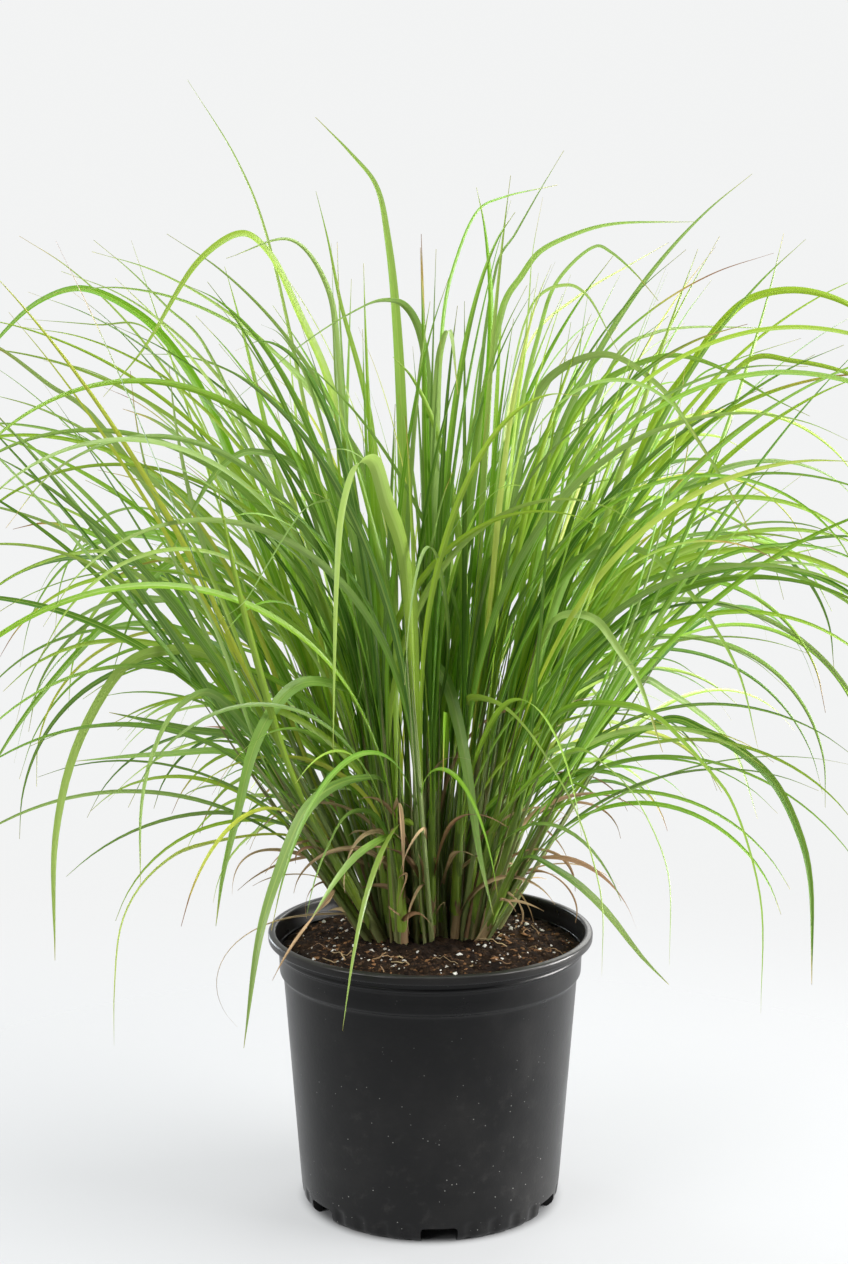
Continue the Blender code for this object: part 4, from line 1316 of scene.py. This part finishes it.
def soil_surface(x, y):
    """Height of the rough soil at a place: smooth fall to the wall, with lumps and grit."""
    place = Vector((x, y, 0))
    lumps = noise.noise(place * 55) * 3.2 * MM + noise.noise(place * 150 + Vector((3, 1, 0))) * 2.6 * MM
    grit = noise.noise(place * 420) * 1.3 * MM + noise.noise(place * 900) * 0.6 * MM
    return soil_height(math.hypot(x, y), inner_wall_radius(SOIL_EDGE)) + lumps + grit - SOIL_SUNK


def soil_ring(radius):
    turns = [FULL_TURN * spoke / SOIL_SPOKES for spoke in range(SOIL_SPOKES)]
    return [(radius * math.cos(turn), radius * math.sin(turn)) for turn in turns]


def make_soil(material):
    edge = inner_wall_radius(SOIL_EDGE) - 0.2 * MM
    corners = [(0, 0, soil_surface(0, 0))]
    for ring in range(1, SOIL_RINGS + 1):
        places = soil_ring(edge * (ring / SOIL_RINGS) ** 0.8)
        corners += [(x, y, soil_surface(x, y)) for x, y in places]
    floor_top = FLOOR_UNDERSIDE + WALL + GAP
    for height, radius in ((BAND_BOTTOM, edge - 5 * MM), (floor_top, WALL_FOOT_RADIUS - 3 * MM)):
        corners += [(x, y, height) for x, y in soil_ring(radius)]
    faces = []
    for spoke in range(SOIL_SPOKES):
        after = (spoke + 1) % SOIL_SPOKES
        faces.append((0, 1 + spoke, 1 + after))
        for ring in range(SOIL_RINGS + 1):
            low = 1 + ring * SOIL_SPOKES
            high = low + SOIL_SPOKES
            faces.append((low + spoke, high + spoke, high + after, low + after))
    faces.append(tuple(range(len(corners) - 1, len(corners) - 1 - SOIL_SPOKES, -1)))
    soil = add_mesh("potting_soil", corners, faces, [material])
    soil.data.shade_smooth()
    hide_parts("soil")
    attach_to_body(soil, "root")


def lump_form(size, stretch, chance):
    """A small irregular lump: an eight-cornered block, jogged out of true."""
    turn = Matrix.Rotation(chance.uniform(0, LUMP_TURN), 3, "Z")
    turn = turn @ Matrix.Rotation(chance.uniform(-LUMP_TILT, LUMP_TILT), 3, "X")
    level = [outward(step * math.pi / 3) for step in range(6)]
    corners = []
    for spot in [Vector((0, 0, -1))] + level + [Vector((0, 0, 1))]:
        spot = Vector([part * share for part, share in zip(spot, stretch)])
        corners.append(turn @ (spot * size * chance.uniform(*LUMP_JOG)))
    faces = []
    for step in range(6):
        after = (step + 1) % 6
        faces += [(0, 1 + after, 1 + step), (7, 1 + step, 1 + after)]
    return corners, faces


def soil_spot(chance, least, most=0.97):
    edge = inner_wall_radius(SOIL_EDGE) - 2 * MM
    radius = edge * math.sqrt(chance.uniform(least**2, most**2))
    turn = chance.uniform(0, FULL_TURN)
    x = radius * math.cos(turn)
    y = radius * math.sin(turn)
    return Vector((x, y, soil_surface(x, y)))


def scatter(name, count, sizes, stretch, material, chance, sunk=0.35):
    """Many small lumps over the soil, in one mesh."""
    skin = Skin()
    for _ in range(count):
        size = mixed(*sizes, chance.random() ** 2.2) * MM
        spot = soil_spot(chance, 0.3) - Vector((0, 0, size * sunk * stretch[2]))
        corners, faces = lump_form(size, stretch, chance)
        skin.add_form([spot + corner for corner in corners], faces, random_note(chance), 0)
    piece = skin.build(name, [material])
    piece.data.shade_flat()
    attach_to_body(piece, "root")


def scatter_straw(material, chance):
    """Dry bits of leaf and root lying on the soil."""
    skin = Skin()
    for _ in range(STRAWS):
        spot = soil_spot(chance, 0.35)
        turn = chance.uniform(0, FULL_TURN)
        length = mixed(*STRAW_LENGTH, chance.random() ** 2) * MM
        width = chance.uniform(*STRAW_WIDTH) * MM
        curl = chance.uniform(-STRAW_CURL, STRAW_CURL)
        rows = []
        for step in range(STRAW_STEPS + 1):
            share = step / STRAW_STEPS
            heading = turn + curl * share
            spot = spot + outward(heading) * length / STRAW_STEPS
            if spot.xy.length > inner_wall_radius(SOIL_EDGE) - 3 * MM:
                break
            height = soil_surface(spot.x, spot.y) + STRAW_LIFT + math.sin(share * 3.1) * 0.12 * length
            middle = Vector((spot.x, spot.y, height))
            side = outward(heading + 1.57) * width * 0.5
            rows.append((share, [middle - side, middle + Vector((0, 0, width * 0.45)), middle + side]))
        if len(rows) > 2:
            skin.add_grid(rows, random_note(chance, 1), 0)
    piece = skin.build("soil_straw", [material])
    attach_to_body(piece, "root")


# Materials


class Nodes:
    """The node tree of a material or of the surround, with short calls to add and join nodes."""

    def __init__(self, owner):
        self.owner = owner
        owner.use_nodes = True
        self.tree = owner.node_tree
        self.tree.nodes.clear()

    def add(self, kind, inputs, **settings):
        """A node with a value, or another node's output, on each of the inputs named."""
        node = self.tree.nodes.new("ShaderNode" + kind)
        for setting, value in settings.items():
            setattr(node, setting, value)
        for key, value in inputs.items():
            if isinstance(value, bpy.types.NodeSocket):
                self.tree.links.new(value, node.inputs[key])
            else:
                node.inputs[key].default_value = value
        return node

    def maths(self, operation, one, two=0.0):
        return self.add("Math", {0: one, 1: two}, operation=operation).outputs[0]

    def times(self, one, two):
        return self.maths("MULTIPLY", one, two)

    def plus(self, one, two):
        return self.maths("ADD", one, two)

    def waves(self, share, count):
        return self.maths("SINE", self.times(share, FULL_TURN * count))

    def jitter(self, value, amount):
        """How far a value from 0 to 1 departs from its middle, times an amount."""
        return self.times(self.maths("SUBTRACT", value, 0.5), amount)

    def mix(self, share, one, two, blend="MIX"):
        inputs = {0: share, 6: one, 7: two}
        return self.add("Mix", inputs, data_type="RGBA", blend_type=blend).outputs[2]

    def painted(self, colour, *coats):
        """A colour with coats over it, each the share that shows and its own colour."""
        for share, coat in coats:
            colour = self.mix(share, colour, coat)
        return colour

    def step(self, value, low, high, start=0.0, end=1.0, kind="SMOOTHSTEP"):
        inputs = {0: value, 1: low, 2: high, 3: start, 4: end}
        return self.add("MapRange", inputs, interpolation_type=kind).outputs[0]

    def noise(self, vector, scale, detail, roughness):
        inputs = {"Vector": vector, "Scale": scale, "Detail": detail, "Roughness": roughness}
        return self.add("TexNoise", inputs).outputs["Fac"]

    def spot(self):
        return self.add("TexCoord", {}).outputs["Object"]

    def part_of(self, vector, axis):
        return self.add("SeparateXYZ", {0: vector}).outputs[axis]

    def place(self):
        """Place on a strip from its UV map, with its shares across and along."""
        place = self.add("UVMap", {}, uv_map="place").outputs[0]
        return place, self.part_of(place, 0), self.part_of(place, 1)

    def note(self):
        """Tone, age or bloom with painted sheen, and dryness of a strip."""
        note = self.add("Attribute", {}, attribute_name="note").outputs["Color"]
        return self.add("SeparateColor", {0: note}).outputs

    def stretched(self, vector, scale):
        return self.add("VectorMath", {0: vector, 1: scale}, operation="MULTIPLY").outputs[0]

    def streaks(self, place, scale, shift, detail, roughness):
        """Noise drawn out along a strip, shifted so that no two strips match."""
        shift = self.add("CombineXYZ", {0: shift, 2: shift}).outputs[0]
        moved = self.add("VectorMath", {0: self.stretched(place, scale), 1: shift}, operation="ADD")
        return self.noise(moved.outputs[0], 1.0, detail, roughness)

    def bump(self, height, strength, distance):
        inputs = {"Height": height, "Strength": strength, "Distance": distance}
        return self.add("Bump", inputs).outputs[0]

    def surface(self, colour, roughness, more):
        inputs = {"Base Color": colour, "Roughness": roughness, **more}
        return self.add("BsdfPrincipled", inputs).outputs[0]

    def see_through(self, inputs):
        return self.add("BsdfTranslucent", inputs).outputs[0]

    def between(self, share, one, two):
        return self.add("MixShader", {0: share, 1: one, 2: two}).outputs[0]

    def finish(self, shader, kind="Material"):
        self.add("Output" + kind, {"Surface": shader})
        return self.owner


def blade_material():
    """Living leaf: green with fine veins, a pale midrib, and yellow or brown towards some tips."""
    nodes = Nodes(bpy.data.materials.new("grass_blade"))
    place, across, along = nodes.place()
    tone, bloom_and_sheen, dryness = nodes.note()
    shift = nodes.times(tone, 37.0)
    streaks = nodes.streaks(place, (9.0, 2.2, 1.0), shift, 4.0, 0.6)
    blotches = nodes.streaks(place, (1.0, 14.0, 1.0), shift, 3.0, 0.55)
    veins = nodes.waves(across, LEAF_VEINS)
    midrib = nodes.step(nodes.maths("ABSOLUTE", nodes.maths("SUBTRACT", across, 0.5)), 0.075, 0.03)
    tip = nodes.plus(nodes.plus(along, nodes.jitter(blotches, 0.22)), dryness)
    colour = nodes.painted(
        LEAF_DEEP,
        (nodes.step(tone, 0.15, 0.5), LEAF_MIDDLE),
        (nodes.step(tone, 0.55, 0.85), LEAF_LIGHT),
        # Bright streaks along each leaf: painted highlights
        (nodes.step(streaks, 0.4, 0.75, 0.0, 0.55), LEAF_PAINTED_HIGHLIGHT),
        (nodes.step(tone, 0.93, 0.97, 0.0, 0.7), LEAF_OLD),
        # Pale bloom, strongest on the arched-over part of the leaf; on leaves that face the front it is a
        # painted sheen
        (nodes.times(bloom_and_sheen, nodes.step(along, 0.22, 0.6, 0.12, 0.85)), LEAF_BLOOM_AND_SHEEN),
        (nodes.step(along, 0.22, -0.05, 0.0, 0.5), LEAF_FOOT),
        (nodes.times(nodes.step(veins, 0.0, 1.0), 0.14), LEAF_VEIN),
        (nodes.times(midrib, 0.3), LEAF_RIB),
        (nodes.step(tip, 0.93, 1.06), LEAF_YELLOW),
        (nodes.step(tip, 1.02, 1.1), LEAF_BROWN),
    )
    glow = nodes.mix(0.75, colour, LEAF_GLOW, "MULTIPLY")
    ribs = nodes.plus(nodes.times(veins, 0.5), nodes.times(midrib, -2.5))
    normal = nodes.bump(ribs, 0.18, 0.00012)
    roughness = nodes.step(streaks, 0.3, 0.7, *LEAF_ROUGHNESS)
    surface = nodes.surface(colour, roughness, {"Normal": normal, "Specular IOR Level": LEAF_GLOSS})
    back = nodes.see_through({"Color": glow, "Normal": normal})
    return nodes.finish(nodes.between(LEAF_THROUGH, surface, back))


def stem_material():
    """Rolled sheaths: pale at the foot, green above, with upright ribs."""
    nodes = Nodes(bpy.data.materials.new("grass_stem"))
    place, across, along = nodes.place()
    tone, age, _ = nodes.note()
    streaks = nodes.streaks(place, (14.0, 2.0, 1.0), nodes.times(tone, 51.0), 4.0, 0.6)
    height = nodes.plus(along, nodes.jitter(streaks, 0.5))
    ribs = nodes.waves(across, STEM_RIBS)
    rusty = nodes.plus(streaks, nodes.times(age, 0.3))
    colour = nodes.painted(
        STEM_FOOT,
        (nodes.step(height, -0.1, 0.45), STEM_GREEN),
        (nodes.times(streaks, 0.6), STEM_PALE),
        (nodes.step(rusty, 0.62, 0.8, 0.0, 0.75), STEM_RUST),
        (nodes.step(ribs, 0.0, 1.0, 0.0, 0.25), STEM_PALE),
    )
    return nodes.finish(nodes.surface(colour, 0.5, {"Normal": nodes.bump(ribs, 0.5, 0.0002)}))


def dry_material():
    """Dead leaf: straw, tan and pinkish brown, streaked along its length."""
    nodes = Nodes(bpy.data.materials.new("grass_dry"))
    place, _, _ = nodes.place()
    tone, age, _ = nodes.note()
    streaks = nodes.streaks(place, (7.0, 3.0, 1.0), nodes.times(tone, 23.0), 4.0, 0.65)
    colour = nodes.painted(
        DRY_TAN,
        (tone, DRY_BROWN),
        (nodes.step(age, 0.65, 1.0, 0.0, 0.6), DRY_PINK),
        (nodes.step(streaks, 0.45, 0.7, 0.0, 0.8), DRY_DARK),
    )
    surface = nodes.surface(colour, 0.72, {"Normal": nodes.bump(streaks, 0.6, 0.0006)})
    return nodes.finish(nodes.between(LEAF_THROUGH, surface, nodes.see_through({"Color": colour})))


def pot_material():
    """Satin black plastic, with a little dust, pale specks and rubbed marks; more dust low down, which is
    also a painted reflection of the floor, and at the lip, which is also a painted highlight.
    """
    nodes = Nodes(bpy.data.materials.new("pot_plastic"))
    spot = nodes.spot()
    height = nodes.part_of(spot, 2)
    cloud = nodes.noise(spot, 14.0, 5.0, 0.6)
    fine = nodes.noise(spot, 900.0, 2.0, 0.5)
    grain = nodes.noise(spot, 260.0, 3.0, 0.6)
    low_down = nodes.step(height, 0.2, 0.04, 0.15, 1.0)
    dust = nodes.step(nodes.noise(spot, 60.0, 6.0, 0.7), 0.52, 0.8, 0.0, 0.1)
    specks = nodes.add("TexVoronoi", {"Vector": spot, "Scale": 220.0}).outputs
    rare = nodes.maths("GREATER_THAN", nodes.times(specks["Color"], 1.0), 0.7)
    speck = nodes.times(nodes.step(specks["Distance"], 0.13, 0.05), rare)
    scratch = nodes.noise(nodes.stretched(spot, (30.0, 30.0, 420.0)), 1.0, 2.0, 0.5)
    rubbed = nodes.times(nodes.step(scratch, 0.68, 0.78), nodes.step(cloud, 0.5, 0.7, 0.0, 0.07))
    colour = nodes.painted(
        PLASTIC,
        # More dust low on the wall, lighter towards the bottom: dust, and a painted reflection of the pale
        # floor
        (nodes.times(dust, low_down), PLASTIC_DUST_AND_SHEEN),
        (nodes.step(cloud, 0.4, 0.75, 0.0, 0.04), PLASTIC_DUST_AND_SHEEN),
        # Lighter band at the lip: dust, and a painted highlight along the lip's top edge
        (nodes.step(height, 0.228, 0.242, 0.0, 0.09), PLASTIC_DUST_AND_SHEEN),
        (nodes.times(speck, nodes.times(low_down, 0.75)), SPECK),
        (rubbed, PLASTIC_DUST_AND_SHEEN),
    )
    roughness = nodes.step(cloud, 0.3, 0.75, *PLASTIC_ROUGHNESS)
    normal = nodes.bump(nodes.plus(nodes.times(fine, 0.35), grain), 0.3, 0.00025)
    more = {"Normal": normal, "Specular IOR Level": PLASTIC_GLOSS}
    return nodes.finish(nodes.surface(colour, roughness, more))


def soil_material(name, dark, light, roughness=0.92, scale=260.0):
    nodes = Nodes(bpy.data.materials.new(name))
    spot = nodes.spot()
    tone, _, _ = nodes.note()
    grain = nodes.noise(spot, scale, 4.0, 0.65)
    broad = nodes.noise(spot, 38.0, 3.0, 0.6)
    share = nodes.plus(nodes.times(grain, 0.6), nodes.times(broad, 0.4))
    share = nodes.step(nodes.plus(share, nodes.times(tone, 0.35)), 0.38, 0.92)
    more = {"Normal": nodes.bump(grain, 0.7, 0.0009), "Specular IOR Level": SOIL_GLOSS}
    return nodes.finish(nodes.surface(nodes.mix(share, dark, light), roughness, more))


def floor_material():
    """Pale floor that lights itself a little, but not under and just round the pot's foot, where it is left
    dark as a painted contact shadow, and fades out far away.
    """
    nodes = Nodes(bpy.data.materials.new("pale_floor"))
    spot = nodes.spot()
    cloud = nodes.noise(spot, 3.0, 2.0, 0.5)
    colour = nodes.mix(nodes.step(cloud, 0.2, 0.8, 0.0, 0.04), FLOOR, FLOOR_SHADE)
    away = nodes.add("VectorMath", {0: spot}, operation="LENGTH").outputs["Value"]
    # No glow under and just round the pot's foot: a painted contact shadow
    glow = nodes.step(away, *CONTACT_SHADOW_EDGE, 0.0, FLOOR_GLOW_POWER)
    surface = nodes.surface(colour, 0.85, {"Emission Color": FLOOR_GLOW, "Emission Strength": glow})
    clear = nodes.add("BsdfTransparent", {}).outputs[0]
    return nodes.finish(nodes.between(nodes.step(away, *FLOOR_FADE), surface, clear))


# Floor, light and camera


def make_floor():
    corners = [(x * FLOOR_HALF, y * FLOOR_HALF, 0) for x, y in ((-1, -1), (1, -1), (1, 1), (-1, 1))]
    floor = add_mesh("floor", corners, [(0, 1, 2, 3)], [floor_material()])


def soft_light(name, place, target, size, power, colour):
    lamp = bpy.data.lights.new(name, "AREA")
    lamp.shape = "RECTANGLE"
    lamp.size, lamp.size_y = size
    lamp.energy = power
    lamp.color = colour
    thing = add_thing(name, lamp)
    thing.location = place
    thing.rotation_euler = (Vector(target) - Vector(place)).to_track_quat("-Z", "Y").to_euler()
    thing.visible_camera = False


def make_light():
    """A plain pale surround that lights the object more from behind, and the soft lights."""
    nodes = Nodes(bpy.data.worlds.new("studio"))
    toward = nodes.part_of(nodes.add("TexCoord", {}).outputs["Generated"], 1)
    power = nodes.step(toward, *SURROUND_REACH, *SURROUND_POWER, "LINEAR")
    lit = nodes.add("Background", {"Color": SURROUND, "Strength": power}).outputs[0]
    seen = nodes.add("Background", {"Color": SURROUND, "Strength": 1}).outputs[0]
    seen_share = nodes.add("LightPath", {}).outputs["Is Camera Ray"]
    bpy.context.scene.world = nodes.finish(nodes.between(seen_share, lit, seen), "World")
    for light in LIGHTS:
        soft_light(*light)


def make_camera():
    camera = bpy.data.cameras.new("camera")
    camera.sensor_width = SENSOR
    camera.lens = FOCAL_PIXELS / IMAGE_HEIGHT * SENSOR
    thing = add_thing("camera", camera)
    thing.location = EYE
    thing.rotation_euler = (math.radians(90 - CAMERA_PITCH), 0, 0)
    bpy.context.scene.camera = thing
    bpy.context.scene.view_settings.view_transform = "Standard"


def main():
    make_camera()
    make_light()
    make_floor()
    grass = [blade_material(), stem_material(), dry_material()]
    chance = random.Random(SEED + 2)
    for shoot in grow_fine_clump():
        make_shoot(shoot, grass, chance)
    make_pot(pot_material())
    make_soil(soil_material("soil_fines", SOIL_DARK, SOIL_BROWN))
    bark = soil_material("soil_bark", BARK_DARK, BARK_RED, 0.85, 120.0)
    crumbs = soil_material("soil_crumb", SOIL_DARK, SOIL_BROWN)
    white = soil_material("perlite", PERLITE_SHADE, PERLITE_WHITE, 0.9, 400.0)
    scatter("soil_crumbs", CRUMBS, (0.5, 2.6), (1, 0.8, 0.6), crumbs, chance)
    scatter("soil_bark", BARK_CHIPS, (0.9, 4.2), (1.2, 0.6, 0.4), bark, chance)
    scatter("perlite", PERLITE, (1.0, 3.3), (1, 0.9, 0.8), white, chance)
    scatter_straw(grass[DRY], chance)


main()
